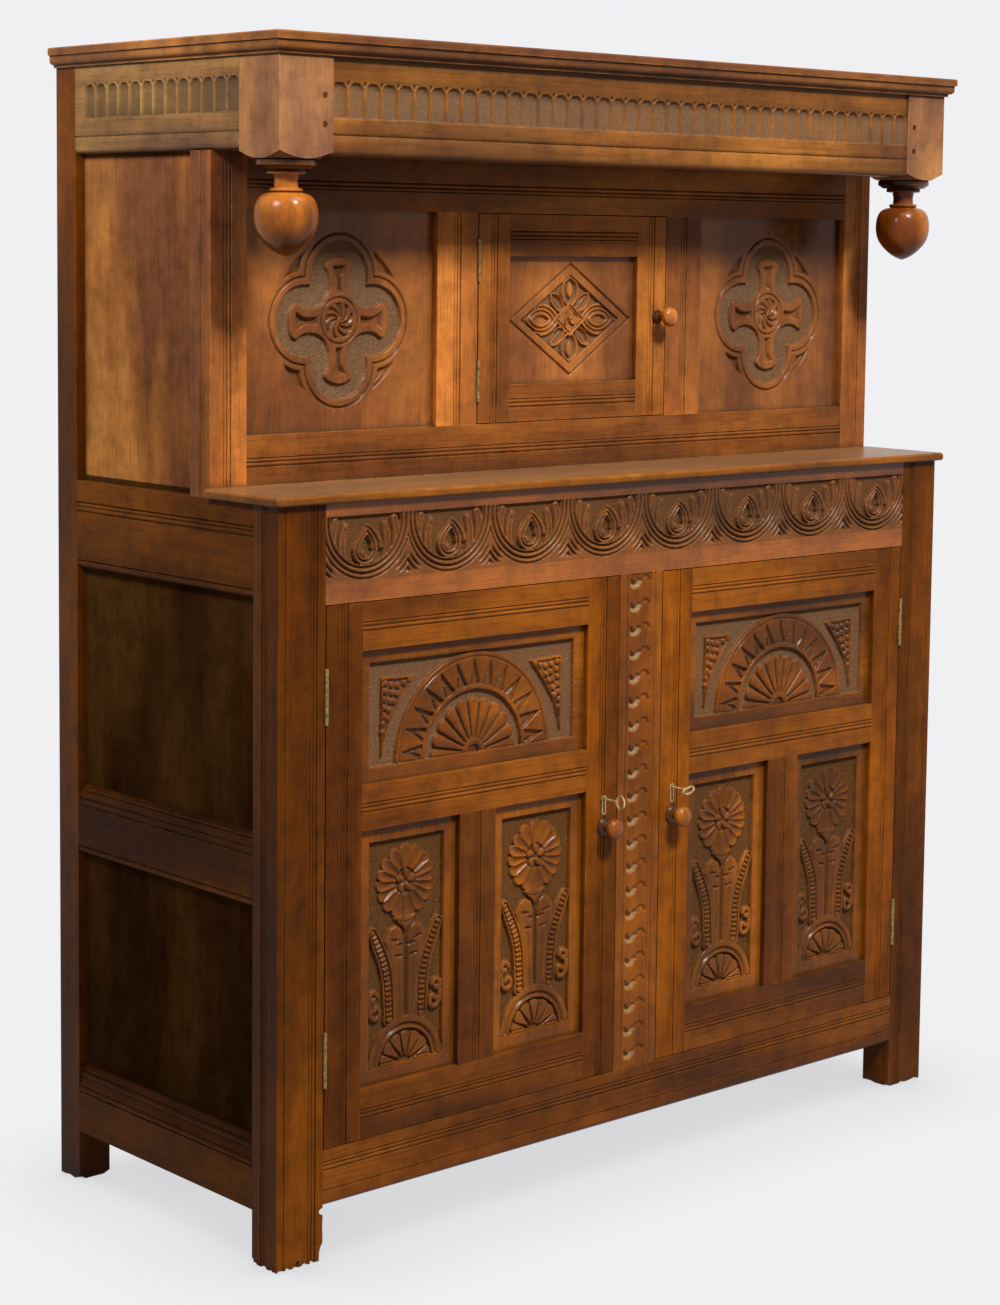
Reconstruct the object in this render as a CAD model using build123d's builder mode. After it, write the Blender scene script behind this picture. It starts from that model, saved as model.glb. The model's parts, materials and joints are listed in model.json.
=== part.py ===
"""Oak court cupboard: a two-door base, a set-back upper cupboard and a canopy with pendants.

Millimetres. X runs along the width from the middle, Y from front to back, Z up from the floor.
The origin is on the floor, under the middle of the whole object, keys included.
Inside each piece, a depth is measured back from the front face of the base frame.
"""
from build123d import *

import os
from math import sqrt

os.makedirs("parts", exist_ok=True)

# ---------------------------------------------------------------- driving sizes
width = 1320.0              # over the corner posts
depth = 520.0               # front face of the base frame to the back

# Heights, from the floor up
foot_height = 73.0          # clear height under the plinth rail
plinth_height = 78.0
lower_door_height = 734.0
frieze_height = 133.5
table_thickness = 12.5
upper_bottom_rail_height = 68.0
upper_door_height = 303.0
upper_top_rail_height = 75.0
canopy_height = 120.0
cornice_height = 28.0

# Base frame
post_width = 78.0
post_depth = 54.0
rear_post_width = 52.0
rear_post_depth = 49.0
rail_thickness = 30.0
centre_muntin_width = 86.0
centre_muntin_thickness = 24.0
panel_thickness = 8.0
side_panel_recess = 15.0
side_mid_level = 482.0
side_mid_height = 100.0
side_foot_height = 99.0
side_top_bead = 8.5         # the side top rail reaches this far above the doors' top
tongue_depth = 7.0          # how far a panel's edge sits in its groove
groove_play = 0.5           # room beyond a panel's edge, for the wood to move

# Joints in the wood
tenon_thickness = 10.0
tenon_length = 26.0
tenon_shoulder = 12.0       # rail left above and below a tenon
tenon_setback = 9.0         # outer face of the rail to the tenon
joint_gap = 0.2             # between a tenon and its mortise
over = 1.0                  # how far a cutter starts outside the wood
back_tenon_setback = 1.0
stub_length = 20.0          # stub tenons at both ends of an upper stile
stub_inset = 9.0            # outer side face to the stub tenon
stub_thickness = 12.0
stub_setback = 12.0
stub_width = 21.0

# Boards inside
board_thickness = 12.0
bearer_size = 18.0
shelf_level = 540.0
shelf_setback = 60.0
back_thickness = 24.0
back_panel_inset = 14.0     # front face of the back rails to the back panels
back_rail_height = 68.0
board_on_back = 11.0        # how far a board lies on a back rail

# Mouldings
reed_pitch = 6.0            # a reed pair is two beads this far apart
reed_depth = 2.4
reed_crown = 0.2            # a bead's crown below the face
reed_flank = 1.2            # the sinking's sloping side
line_width = 3.0
line_depth = 1.8
arris = 0.8                 # rounding of a worn edge
post_line_inset = 12.0      # outer edge of a front post to its thin line
post_reed_inset = 58.5      # and to its reed pair
post_side_reed = 29.0       # depth of the reed pair on a post's side face
plinth_nose = 9.0
plinth_line = 22.0          # above the rail's lower edge
plinth_reed = 22.5          # below its top edge
strip_line_gap = 6.5        # sunk strip to the line beside it
foot_moulding = 32.0        # height of the stepped moulding on a side rail's top edge
mid_moulding = 22.0
moulding_step = 3.0
moulding_line = 7.0         # moulding to the line under it
mid_bead = 10.0             # height of the bead along a rail's lower edge
top_bead = 13.0
bead_radius = 4.5
side_reed_drop = 32.0       # top of the side top rail to its reed pair
table_corner = 3.0
table_nose_low = 4.0
table_nose_high = 5.0
upper_stile_reed = 28.0     # outer side face to the reed pair in front
upper_stile_side_reed = 17.5
upper_bottom_reed = 31.0    # above the lower edge of each upper rail
upper_top_reed = 33.0
canopy_nose = 9.0
side_canopy_nose = 7.0
cornice_mould_radius = 6.0
cornice_top_radius = 3.0
frieze_recess = 3.5         # depth of the sunk ground of the carved bands
frieze_band_low = 28.0      # rail's lower edge to the sunk band
frieze_band_height = 87.0
strip_half_width = 22.0     # sunk strip of the centre muntin
strip_recess = 1.6

# Lower doors
door_gap = 1.5
hinge_gap = 2.0
door_thickness = 22.0
door_stile_width = 61.0
door_top_rail = 65.0
door_mid_rail = 61.0
door_bottom_rail = 68.0
fan_opening_height = 182.0
door_muntin_width = 66.0
door_panel_recess = 9.5
door_tenon_length = 30.0
door_tenon_thickness = 6.0
door_tenon_setback = 2.5
stop_gap = 1.0              # door's back to the boards that stop it
ground_depth = 4.5          # sunk ground inside a carved panel's plain border
fan_border = 20.0
flower_border = 21.5

# Upper stage
upper_setback = 150.0
upper_stile_width = 60.0
upper_stile_depth = 45.0
upper_rail_thickness = 22.0
upper_tenon_thickness = 8.0
upper_tenon_setback = 2.5
upper_opening = 382.0
upper_muntin_width = 76.0
upper_panel_recess = 11.5
upper_door_stile = 60.0
upper_door_top = 60.0
upper_door_bottom = 54.0
quatrefoil_reach = 60.0     # panel's middle to the middle of a lobe
quatrefoil_lobe = 54.0      # radius of a lobe's sunk ground
quatrefoil_depth = 3.0
lozenge_width = 242.0
lozenge_height = 164.0
lozenge_line = 4.0

# Table top and canopy
table_overhang = 10.0
block_size = 87.0
block_proud = 4.0           # corner block in front of the canopy's front rail
block_drop = 12.0           # block's lowest point below the soffit
block_rise = 10.0           # block's corners above its lowest point
canopy_rail_thickness = 26.0
canopy_drop = 8.0           # front rail below the soffit
canopy_bead = 27.0          # height of the moulding along the front rail's lower edge
side_canopy_bead = 23.0
nulling_height = 50.0
nulling_low = 48.0          # front rail's lower edge to the nulled band
side_nulling_low = 47.0
side_nulling_end = 20.0     # plain wood between the side band and the rear post
soffit_thickness = 10.0
cornice_overhang = 14.0
cornice_top_fillet = 11.0
cornice_low_fillet = 4.0
cornice_step = 3.0
cornice_low_overhang = 4.0
peg_radius = 4.0
peg_length = 40.0
peg_levels = (45.0, 82.0)   # above the block's lowest point
peg_inset = 14.0
peg_proud = 0.6

# Turned pendant: radius and depth below the block of each place along it
pendant_profile = (
    (38.0, 0.0), (40.0, -2.0), (40.0, -8.0), (33.0, -13.0), (26.0, -14.0), (27.0, -16.5),
    (26.0, -19.0), (17.0, -20.5), (15.5, -28.0), (16.0, -37.0), (21.5, -38.5), (22.0, -41.0),
    (20.0, -43.5),
)
pendant_ball = ((20.0, -43.5), (37.0, -52.0), (42.0, -69.0), (37.5, -96.0), (26.0, -111.0),
                (11.0, -122.0), (0.0, -126.0))
pendant_dowel_radius = 12.0
pendant_dowel_length = 40.0

# Hinges
lower_hinge_length = 75.0
upper_hinge_length = 60.0
lower_hinge_low = 84.0      # door's lower edge to the lower hinge
lower_hinge_high = 83.0     # upper hinge to the door's top edge
upper_hinge_low = 31.0
upper_hinge_high = 36.0
knuckle_radius = 2.8
pin_radius = 1.3
pin_clearance = 0.05
knuckle_gap = 0.3
knuckle_count = 5
knuckle_proud = 1.4         # hinge axis in front of the door's face
leaf_thickness = 1.4
leaf_width = 19.0
metal_gap = 0.3             # metal to the wood or metal beside it

# Locks and keys
key_from_edge = 25.5        # key's axis to the door's meeting edge
key_level = 408.0           # above the door's lower edge
escutcheon_radius = 4.8
escutcheon_wall = 1.2
escutcheon_slot = 3.1       # half width of its lower part
escutcheon_length = 28.0
escutcheon_foot = 1.0       # metal under its slot
escutcheon_depth = 4.0
escutcheon_proud = 0.4
case_height = 62.0
case_reach = 45.0           # door's edge to the far side of the lock case
case_depth = 13.0
case_wall = 1.5
bolt_thickness = 5.0
bolt_height = 17.0
bolt_inset = 0.5            # bolt's end inside the door's edge, drawn back
bolt_above_key = 4.5
bolt_throw = 12.0
bolt_from_front = 2.2       # case's inner front to the bolt
mortise_play = 0.8
key_shank_radius = 1.7
key_bit_length = 10.5
key_bit_thickness = 1.9
bow_centre = 34.0           # in front of the door's face
bow_outer_height = 10.3
bow_outer_length = 8.8
bow_wire = 2.2
key_collar_radius = 2.6
key_collar_length = 3.0
right_key_turn = 62.0       # degrees that the right key has turned from hanging straight

# Knobs: distance in front of the face and radius of each place along it
knob_level = 367.0
knob_profile = ((0.0, 13.0), (2.5, 13.2), (5.0, 11.0), (7.5, 7.0), (12.0, 6.2), (15.5, 8.0))
knob_head = ((15.5, 8.0), (18.5, 13.5), (24.0, 15.2), (29.0, 12.5), (32.0, 6.5), (33.0, 0.0))
knob_spigot_radius = 5.0
knob_spigot_length = 16.0
upper_knob_level = 151.0
upper_knob_from_edge = 17.0
upper_knob_profile = ((0.0, 10.0), (2.5, 10.2), (5.0, 8.5), (8.0, 5.8), (15.0, 5.2), (20.0, 8.0))
upper_knob_head = ((20.0, 8.0), (23.0, 12.8), (28.0, 14.6), (33.0, 12.0), (35.5, 6.5), (36.5, 0.0))
spindle_radius = 3.0
running_fit = 0.08
catch_length = 27.0         # from the spindle's axis
catch_width = 12.0
catch_thickness = 4.0

# ---------------------------------------------------------------- places worked out
key_reach = bow_centre + bow_outer_length
front_y = (key_reach - depth) / 2
half = width / 2

plinth_top = foot_height + plinth_height
doors_top = plinth_top + lower_door_height
table_low = doors_top + frieze_height
table_top_level = table_low + table_thickness
upper_door_low = table_top_level + upper_bottom_rail_height
upper_door_top_level = upper_door_low + upper_door_height
soffit_level = upper_door_top_level + upper_top_rail_height
cornice_low = soffit_level + canopy_height
height = cornice_low + cornice_height

post_inner = half - post_width
rear_inner = half - rear_post_width
rear_front = depth - rear_post_depth
side_inner = half - rail_thickness
back_front = depth - back_thickness
upper_inner = half - upper_stile_width
upper_half_opening = upper_opening / 2
upper_muntin_outer = upper_half_opening + upper_muntin_width
block_inner = half - block_size
block_axis = half - block_size / 2
side_top_low = doors_top + side_top_bead
shelf_back = back_front + board_on_back
floor_front = door_thickness + stop_gap
side_panel_inner = half - side_panel_recess - panel_thickness
board_edge = side_panel_inner - groove_play

muntin_half = centre_muntin_width / 2
door_edge = muntin_half + door_gap
door_hinge_edge = post_inner - hinge_gap
door_low = plinth_top + door_gap
door_high = doors_top - door_gap
stile_inner_edge = door_edge + door_stile_width
hinge_stile_edge = door_hinge_edge - door_stile_width
door_middle = (stile_inner_edge + hinge_stile_edge) / 2
top_rail_low = door_high - door_top_rail
fan_low = top_rail_low - fan_opening_height
mid_rail_low = fan_low - door_mid_rail
bottom_rail_high = door_low + door_bottom_rail
key_x = door_edge + key_from_edge
key_z = door_low + key_level
knob_z = door_low + knob_level
upper_knob_x = upper_half_opening - door_gap - upper_knob_from_edge
upper_knob_z = upper_door_low + upper_knob_level
case_front = door_thickness - case_depth
bolt_front = case_front + case_wall + bolt_from_front
bolt_low = key_z + bolt_above_key
bolt_length = case_reach - case_wall - bolt_inset - mortise_play
bolt_high = bolt_low + bolt_height
block_low = soffit_level - block_drop
front_rail_low = soffit_level - canopy_drop


# ---------------------------------------------------------------- helpers
def y_at(deep):
    """The Y of a place this deep behind the front face of the base frame."""
    return front_y + deep


def block(x, deep, z, mode=Mode.ADD):
    """A rectangular block between three pairs of limits, the second pair measured in depth."""
    x_low, x_high = sorted(x)
    with Locations((x_low, y_at(deep[0]), z[0])):
        Box(x_high - x_low, deep[1] - deep[0], z[1] - z[0],
            align=(Align.MIN, Align.MIN, Align.MIN), mode=mode)


def cut(x, deep, z):
    """Takes away a rectangular block."""
    block(x, deep, z, mode=Mode.SUBTRACT)


def cut_outline(start, end, outward, outline):
    """Cuts a moulding's outline along a straight line on the face that looks outward."""
    run = Vector(*end) - Vector(*start)
    plane = Plane(origin=start, x_dir=outward, z_dir=run.normalized())
    with BuildSketch(plane) as section:
        with BuildLine():
            outline()
        make_face()
    extrude(section.sketch, amount=run.length, mode=Mode.SUBTRACT)


def line_outline():
    """A V groove: the section of one incised line."""
    Polyline((over, -line_width / 2), (-line_depth, 0), (over, line_width / 2), close=True)


def reed_outline():
    """Two beads side by side in a shallow sinking."""
    crown = -reed_crown
    flank = reed_pitch + reed_flank
    Line((over, -flank), (-reed_depth, -reed_pitch))
    ThreePointArc((-reed_depth, -reed_pitch), (crown, -reed_pitch / 2), (-reed_depth, 0))
    ThreePointArc((-reed_depth, 0), (crown, reed_pitch / 2), (-reed_depth, reed_pitch))
    Line((-reed_depth, reed_pitch), (over, flank))
    Line((over, flank), (over, -flank))


def front_line(x, z, deep=0.0, outline=line_outline):
    """A moulding on a face that looks forward, along whichever of x and z is a pair."""
    if isinstance(x, tuple):
        x_low, x_high = sorted(x)
        start = (x_low, y_at(deep), z)
        end = (x_high, y_at(deep), z)
    else:
        start = (x, y_at(deep), z[0])
        end = (x, y_at(deep), z[1])
    cut_outline(start, end, (0, -1, 0), outline)


def side_line(side, deep, z, outline=line_outline):
    """A moulding on the outer side face, along whichever of deep and z is a pair."""
    if isinstance(deep, tuple):
        start = (side * half, y_at(deep[0]), z)
        end = (side * half, y_at(deep[1]), z)
    else:
        start = (side * half, y_at(deep), z[0])
        end = (side * half, y_at(deep), z[1])
    cut_outline(start, end, (side, 0, 0), outline)


def round_edge(point, radius):
    """Rounds the edge that passes through a point."""
    fillet(edges().sort_by_distance(point)[0], radius)


def tenon_x(x_end, out, deep, z, long=tenon_length, thick=tenon_thickness, setback=tenon_setback):
    """A tenon at a rail's end; out is +1 or -1 along X."""
    block((x_end, x_end + out * long), (deep + setback, deep + setback + thick),
          (z[0] + tenon_shoulder, z[1] - tenon_shoulder))


def mortise_x(x_face, into, deep, z, long=tenon_length, thick=tenon_thickness,
              setback=tenon_setback):
    """The mortise for tenon_x, cut from a stile's face; into is +1 or -1 along X."""
    cut((x_face - into * over, x_face + into * (long + joint_gap)),
        (deep + setback - joint_gap, deep + setback + thick + joint_gap),
        (z[0] + tenon_shoulder - joint_gap, z[1] - tenon_shoulder + joint_gap))


def side_tenon(side, deep, back, z, grow=0.0, mode=Mode.ADD):
    """A tenon of a side rail that starts at deep; back is +1 or -1 along its length."""
    outer = side * (half - tenon_setback + grow)
    inner = side * (half - tenon_setback - tenon_thickness - grow)
    near, far = sorted((deep - back * grow, deep + back * (tenon_length + grow)))
    block((outer, inner), (near, far),
          (z[0] + tenon_shoulder - grow, z[1] - tenon_shoulder + grow), mode=mode)


def side_mortise(side, deep, back, z):
    """The mortise for side_tenon."""
    side_tenon(side, deep, back, z, grow=joint_gap, mode=Mode.SUBTRACT)


def stub_tenon(side, low, high, grow=0.0, mode=Mode.ADD):
    """A stub tenon at an end of an upper stile, or with grow and SUBTRACT its mortise."""
    block((side * (half - stub_inset + grow), side * (half - stub_inset - stub_thickness - grow)),
          (upper_setback + stub_setback - grow, upper_setback + stub_setback + stub_width + grow),
          (low - grow, high + grow), mode=mode)


def front_groove(x, recess, z, deep=0.0):
    """The groove that holds a panel's edge, round an opening of a front frame."""
    x_low, x_high = sorted(x)
    reach = tongue_depth + groove_play
    cut((x_low - reach, x_high + reach), (deep + recess, deep + recess + panel_thickness),
        (z[0] - reach, z[1] + reach))


def side_groove(side, deep, z):
    """The groove that holds a side panel's edge."""
    reach = tongue_depth + groove_play
    outer = side * (half - side_panel_recess)
    cut((outer, outer - side * panel_thickness), (deep[0] - reach, deep[1] + reach),
        (z[0] - reach, z[1] + reach))


def save(part, name):
    """Labels a finished piece and writes it."""
    part.label = name
    export_step(part, f"parts/{name}.step")


def nosed_edges(level, back):
    """A board's lowest (0) or highest (-1) edges, apart from the one along its back."""
    return edges().group_by(Axis.Z)[level].filter_by_position(
        Axis.Y, y_at(-depth), y_at(back - over))


def rod(x, deep, z, radius, long, mode=Mode.ADD):
    """A round rod or hole that runs back from deep."""
    with Locations((x, y_at(deep), z)):
        Cylinder(radius, long, rotation=(-90, 0, 0), mode=mode,
                 align=(Align.CENTER, Align.CENTER, Align.MIN))


side_names = (("left", -1), ("right", 1))

# Spans in Z: lower and upper edge
frieze_z = (doors_top, table_low)
plinth_z = (foot_height, plinth_top)
canopy_side_z = (soffit_level, cornice_low)
canopy_front_z = (front_rail_low, cornice_low)
side_rail_z = (
    (foot_height, foot_height + side_foot_height),
    (side_mid_level, side_mid_level + side_mid_height),
    (side_top_low, table_low),
)
side_openings_z = (
    (side_rail_z[0][1], side_rail_z[1][0]),
    (side_rail_z[1][1], side_rail_z[2][0]),
    (table_low, soffit_level),
)
back_rail_z = (
    (foot_height, plinth_top),
    (table_low - back_rail_height, table_low),
    (cornice_low - back_rail_height, cornice_low),
)
back_openings_z = (
    (back_rail_z[0][1], back_rail_z[1][0]),
    (back_rail_z[1][1], back_rail_z[2][0]),
)
hinge_y = -knuckle_proud
lower_hinges_z = (
    (door_low + lower_hinge_low, door_low + lower_hinge_low + lower_hinge_length),
    (door_high - lower_hinge_high - lower_hinge_length, door_high - lower_hinge_high),
)
upper_door_z = (upper_door_low + door_gap, upper_door_top_level - door_gap)
upper_hinges_z = (
    (upper_door_z[0] + upper_hinge_low, upper_door_z[0] + upper_hinge_low + upper_hinge_length),
    (upper_door_z[1] - upper_hinge_high - upper_hinge_length, upper_door_z[1] - upper_hinge_high),
)
lower_hinge_x = post_inner - hinge_gap / 2
upper_hinge_x = -upper_half_opening + hinge_gap / 2


def hinge_recess(side, hinge_x, face_deep, z, into):
    """Room in a stile for one leaf and the knuckles of a hinge; into points into the stile."""
    face = hinge_x + into * side * hinge_gap / 2
    cut((face - into * side * over, face + into * side * leaf_thickness),
        (face_deep - over, face_deep + hinge_y + leaf_width + metal_gap),
        (z[0] - metal_gap, z[1] + metal_gap))
    with Locations((hinge_x, y_at(face_deep + hinge_y), z[0] - metal_gap)):
        Cylinder(knuckle_radius + metal_gap, z[1] - z[0] + 2 * metal_gap,
                 align=(Align.CENTER, Align.CENTER, Align.MIN), mode=Mode.SUBTRACT)


def hinge_leaf(side, hinge_x, face_deep, z, into, first):
    """One leaf with its knuckles: every second knuckle, starting with first."""
    face = hinge_x + into * side * hinge_gap / 2
    plate_start = knuckle_radius + metal_gap
    axis = (hinge_x, y_at(face_deep + hinge_y))
    with BuildPart() as leaf:
        block((face, face + into * side * leaf_thickness),
              (face_deep + hinge_y + plate_start, face_deep + hinge_y + leaf_width), z)
        pitch = (z[1] - z[0]) / knuckle_count
        for number in range(first, knuckle_count, 2):
            low = z[0] + number * pitch + (knuckle_gap / 2 if number else 0)
            high = z[0] + (number + 1) * pitch
            high -= knuckle_gap / 2 if number < knuckle_count - 1 else 0
            block((face, face + into * side * leaf_thickness),
                  (face_deep + hinge_y, face_deep + hinge_y + plate_start), (low, high))
            with Locations((*axis, low)):
                Cylinder(knuckle_radius, high - low,
                         align=(Align.CENTER, Align.CENTER, Align.MIN))
        with Locations((*axis, z[0])):
            Cylinder(pin_radius + pin_clearance, z[1] - z[0],
                     align=(Align.CENTER, Align.CENTER, Align.MIN), mode=Mode.SUBTRACT)
    return leaf.part


def hinge_pin(hinge_x, face_deep, z):
    """The pin that the leaves turn on."""
    with BuildPart() as pin:
        with Locations((hinge_x, y_at(face_deep + hinge_y), z[0])):
            Cylinder(pin_radius, z[1] - z[0], align=(Align.CENTER, Align.CENTER, Align.MIN))
    return pin.part


# ---------------------------------------------------------------- corner posts
for name, side in side_names:
    with BuildPart() as front_stile:
        block((side * half, side * post_inner), (0, post_depth), (0, table_low))
        fillet(edges().filter_by(Axis.Z), arris)
        fillet(faces().sort_by(Axis.Z)[0].edges(), arris)
        for z in (frieze_z, plinth_z):
            mortise_x(side * post_inner, side, 0, z)
        for z in side_rail_z:
            side_mortise(side, post_depth, -1, z)
        for z in side_openings_z[:2]:
            side_groove(side, (post_depth, rear_front), z)
        front_line(side * (half - post_line_inset), (0, table_low))
        front_line(side * (half - post_reed_inset), (0, table_low), outline=reed_outline)
        side_line(side, post_side_reed, (0, table_low), outline=reed_outline)
        for z in lower_hinges_z:
            hinge_recess(side, side * lower_hinge_x, 0, z, 1)
    save(front_stile.part, f"front_stile_{name}")

    with BuildPart() as rear_stile:
        block((side * half, side * rear_inner), (rear_front, depth), (0, cornice_low))
        fillet(edges().filter_by(Axis.Z), arris)
        for z in (*side_rail_z, canopy_side_z):
            side_mortise(side, rear_front, 1, z)
        for z in side_openings_z:
            side_groove(side, (post_depth, rear_front), z)
        for z in back_rail_z:
            mortise_x(side * rear_inner, side, back_front, z, setback=back_tenon_setback)
        for z in back_openings_z:
            front_groove((rear_inner, -rear_inner), back_panel_inset, z, deep=back_front)
    save(rear_stile.part, f"rear_stile_{name}")

# ---------------------------------------------------------------- base front frame
def muntin_mortise(low, high):
    """The mortise for one end of the centre muntin."""
    half_mortise = muntin_half - tenon_shoulder
    cut((-half_mortise, half_mortise),
        (tenon_setback - joint_gap, tenon_setback + tenon_thickness + joint_gap), (low, high))


with BuildPart() as frieze_rail:
    block((-post_inner, post_inner), (0, rail_thickness), frieze_z)
    band_low = frieze_z[0] + frieze_band_low
    cut((-post_inner, post_inner), (-over, frieze_recess),
        (band_low, band_low + frieze_band_height))
    for side in (-1, 1):
        tenon_x(side * post_inner, side, 0, frieze_z)
    muntin_mortise(doors_top - over, doors_top + tenon_length + joint_gap)
save(frieze_rail.part, "frieze_rail")

with BuildPart() as plinth_rail:
    block((-post_inner, post_inner), (0, rail_thickness), plinth_z)
    round_edge((0, y_at(0), foot_height), plinth_nose)
    front_line((-post_inner, post_inner), foot_height + plinth_line)
    front_line((-post_inner, post_inner), plinth_top - plinth_reed, outline=reed_outline)
    for side in (-1, 1):
        tenon_x(side * post_inner, side, 0, plinth_z)
    muntin_mortise(plinth_top - tenon_length - joint_gap, plinth_top + over)
save(plinth_rail.part, "plinth_rail")

with BuildPart() as centre_muntin:
    block((-muntin_half, muntin_half), (0, centre_muntin_thickness), (plinth_top, doors_top))
    fillet(edges().filter_by(Axis.Z).group_by(Axis.Y)[0], arris)
    cut((-strip_half_width, strip_half_width), (-over, strip_recess), (plinth_top, doors_top))
    tenon_half = muntin_half - tenon_shoulder - joint_gap
    block((-tenon_half, tenon_half), (tenon_setback, tenon_setback + tenon_thickness),
          (plinth_top - tenon_length, doors_top + tenon_length))
    for side in (-1, 1):
        front_line(side * (strip_half_width + strip_line_gap), (plinth_top, doors_top))
        bolt_room = bolt_throw + mortise_play
        cut((side * (muntin_half + over), side * (muntin_half - bolt_room)),
            (bolt_front - mortise_play, bolt_front + bolt_thickness + mortise_play),
            (bolt_low - mortise_play, bolt_high + mortise_play))
save(centre_muntin.part, "centre_muntin")


# ---------------------------------------------------------------- side frames
def moulded_side_rail(side, z, top_moulding, lower_bead, reed_level):
    """A side rail with its mouldings, between the posts."""
    span = (post_depth, rear_front)
    middle = (span[0] + span[1]) / 2
    with BuildPart() as rail:
        block((side * half, side * side_inner), span, z)
        if top_moulding:
            stepped = half - moulding_step
            cut((side * (half + over), side * stepped), span, (z[1] - top_moulding, z[1] + over))
            round_edge((side * stepped, y_at(middle), z[1]),
                       side_panel_recess - moulding_step - arris)
            side_line(side, span, z[1] - top_moulding - moulding_line)
        if lower_bead:
            round_edge((side * half, y_at(middle), z[0]), bead_radius)
            side_line(side, span, z[0] + lower_bead)
        if reed_level:
            side_line(side, span, reed_level, outline=reed_outline)
        side_tenon(side, span[0], -1, z)
        side_tenon(side, span[1], 1, z)
        for opening in side_openings_z:
            side_groove(side, span, opening)
        if z[1] == table_low:
            stub_tenon(side, table_low - stub_length, table_low, joint_gap, Mode.SUBTRACT)
    return rail.part


for name, side in side_names:
    rails = Compound([
        moulded_side_rail(side, side_rail_z[0], foot_moulding, 0, 0),
        moulded_side_rail(side, side_rail_z[1], mid_moulding, mid_bead, 0),
        moulded_side_rail(side, side_rail_z[2], 0, top_bead, table_low - side_reed_drop),
    ])
    save(rails, f"side_rails_{name}")

    panels = []
    for number, z in enumerate(side_openings_z):
        front_edge = post_depth if number < 2 else upper_setback + upper_stile_depth
        with BuildPart() as side_panel:
            outer = side * (half - side_panel_recess)
            block((outer, outer - side * panel_thickness),
                  (front_edge - tongue_depth, rear_front + tongue_depth),
                  (z[0] - tongue_depth, z[1] + tongue_depth))
        panels.append(side_panel.part)
    save(Compound(panels), f"side_panels_{name}")

# ---------------------------------------------------------------- back
back_rails = []
for z in back_rail_z:
    with BuildPart() as back_rail:
        block((-rear_inner, rear_inner), (back_front, depth), z)
        for side in (-1, 1):
            tenon_x(side * rear_inner, side, back_front, z, setback=back_tenon_setback)
        for opening in back_openings_z:
            front_groove((-rear_inner, rear_inner), back_panel_inset, opening, deep=back_front)
    back_rails.append(back_rail.part)
save(Compound(back_rails), "back_rails")

back_panels = []
for z in back_openings_z:
    with BuildPart() as back_panel:
        block((-rear_inner - tongue_depth, rear_inner + tongue_depth),
              (back_front + back_panel_inset, back_front + back_panel_inset + panel_thickness),
              (z[0] - tongue_depth, z[1] + tongue_depth))
    back_panels.append(back_panel.part)
save(Compound(back_panels), "back_panels")


# ---------------------------------------------------------------- boards inside
def notch_rear_posts(z):
    """Cuts a board round the two rear posts."""
    for side in (-1, 1):
        cut((side * (rear_inner - groove_play), side * half),
            (rear_front - groove_play, depth), (z[0] - over, z[1] + over))


floor_z = (plinth_top, plinth_top + board_thickness)
shelf_z = (shelf_level, shelf_level + board_thickness)
with BuildPart() as base_floor:
    block((-side_inner + groove_play, side_inner - groove_play), (floor_front, shelf_back), floor_z)
    for side in (-1, 1):
        cut((side * (post_inner - groove_play), side * half),
            (floor_front - over, post_depth + groove_play), (floor_z[0] - over, floor_z[1] + over))
    cut((-muntin_half - groove_play, muntin_half + groove_play),
        (floor_front - over, centre_muntin_thickness + groove_play),
        (floor_z[0] - over, floor_z[1] + over))
    notch_rear_posts(floor_z)
save(base_floor.part, "base_floor")

with BuildPart() as base_shelf:
    block((-side_inner + groove_play, side_inner - groove_play),
          (shelf_setback, back_front - groove_play), shelf_z)
    notch_rear_posts(shelf_z)
save(base_shelf.part, "base_shelf")

bearers = []
for side in (-1, 1):
    for z in (floor_z, shelf_z):
        with BuildPart() as bearer:
            block((side * side_inner, side * (side_inner - bearer_size)),
                  (shelf_setback, rear_front - groove_play), (z[0] - bearer_size, z[0]))
        bearers.append(bearer.part)
save(Compound(bearers), "shelf_bearers")

table_z = (table_low, table_top_level)
with BuildPart() as table_top:
    block((-half - table_overhang, half + table_overhang), (-table_overhang, upper_setback), table_z)
    fillet(edges().filter_by(Axis.Z).group_by(Axis.Y)[0], table_corner)
    fillet(nosed_edges(0, upper_setback), table_nose_low)
    fillet(nosed_edges(-1, upper_setback), table_nose_high)
    block((-upper_inner + groove_play, upper_inner - groove_play),
          (upper_setback, upper_setback + upper_stile_depth + groove_play), table_z)
    block((-board_edge, board_edge),
          (upper_setback + upper_stile_depth + groove_play, shelf_back), table_z)
    notch_rear_posts(table_z)
save(table_top.part, "table_top")

# ---------------------------------------------------------------- upper stage
upper_deep = upper_setback
bottom_rail_z = (table_top_level, upper_door_low)
top_rail_z = (upper_door_top_level, soffit_level)
upper_opening_z = (upper_door_low, upper_door_top_level)
upper_joint = {"thick": upper_tenon_thickness, "setback": upper_tenon_setback}


def upper_rail(z, reed_level):
    """A rail across the upper stage, with the grooves for the two carved panels."""
    with BuildPart() as rail:
        block((-upper_inner, upper_inner), (upper_deep, upper_deep + upper_rail_thickness), z)
        front_line((-upper_inner, upper_inner), z[0] + reed_level, deep=upper_deep,
                   outline=reed_outline)
        for side in (-1, 1):
            tenon_x(side * upper_inner, side, upper_deep, z, **upper_joint)
            front_groove((side * upper_inner, side * upper_muntin_outer), upper_panel_recess,
                         upper_opening_z, deep=upper_deep)
    return rail.part


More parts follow.
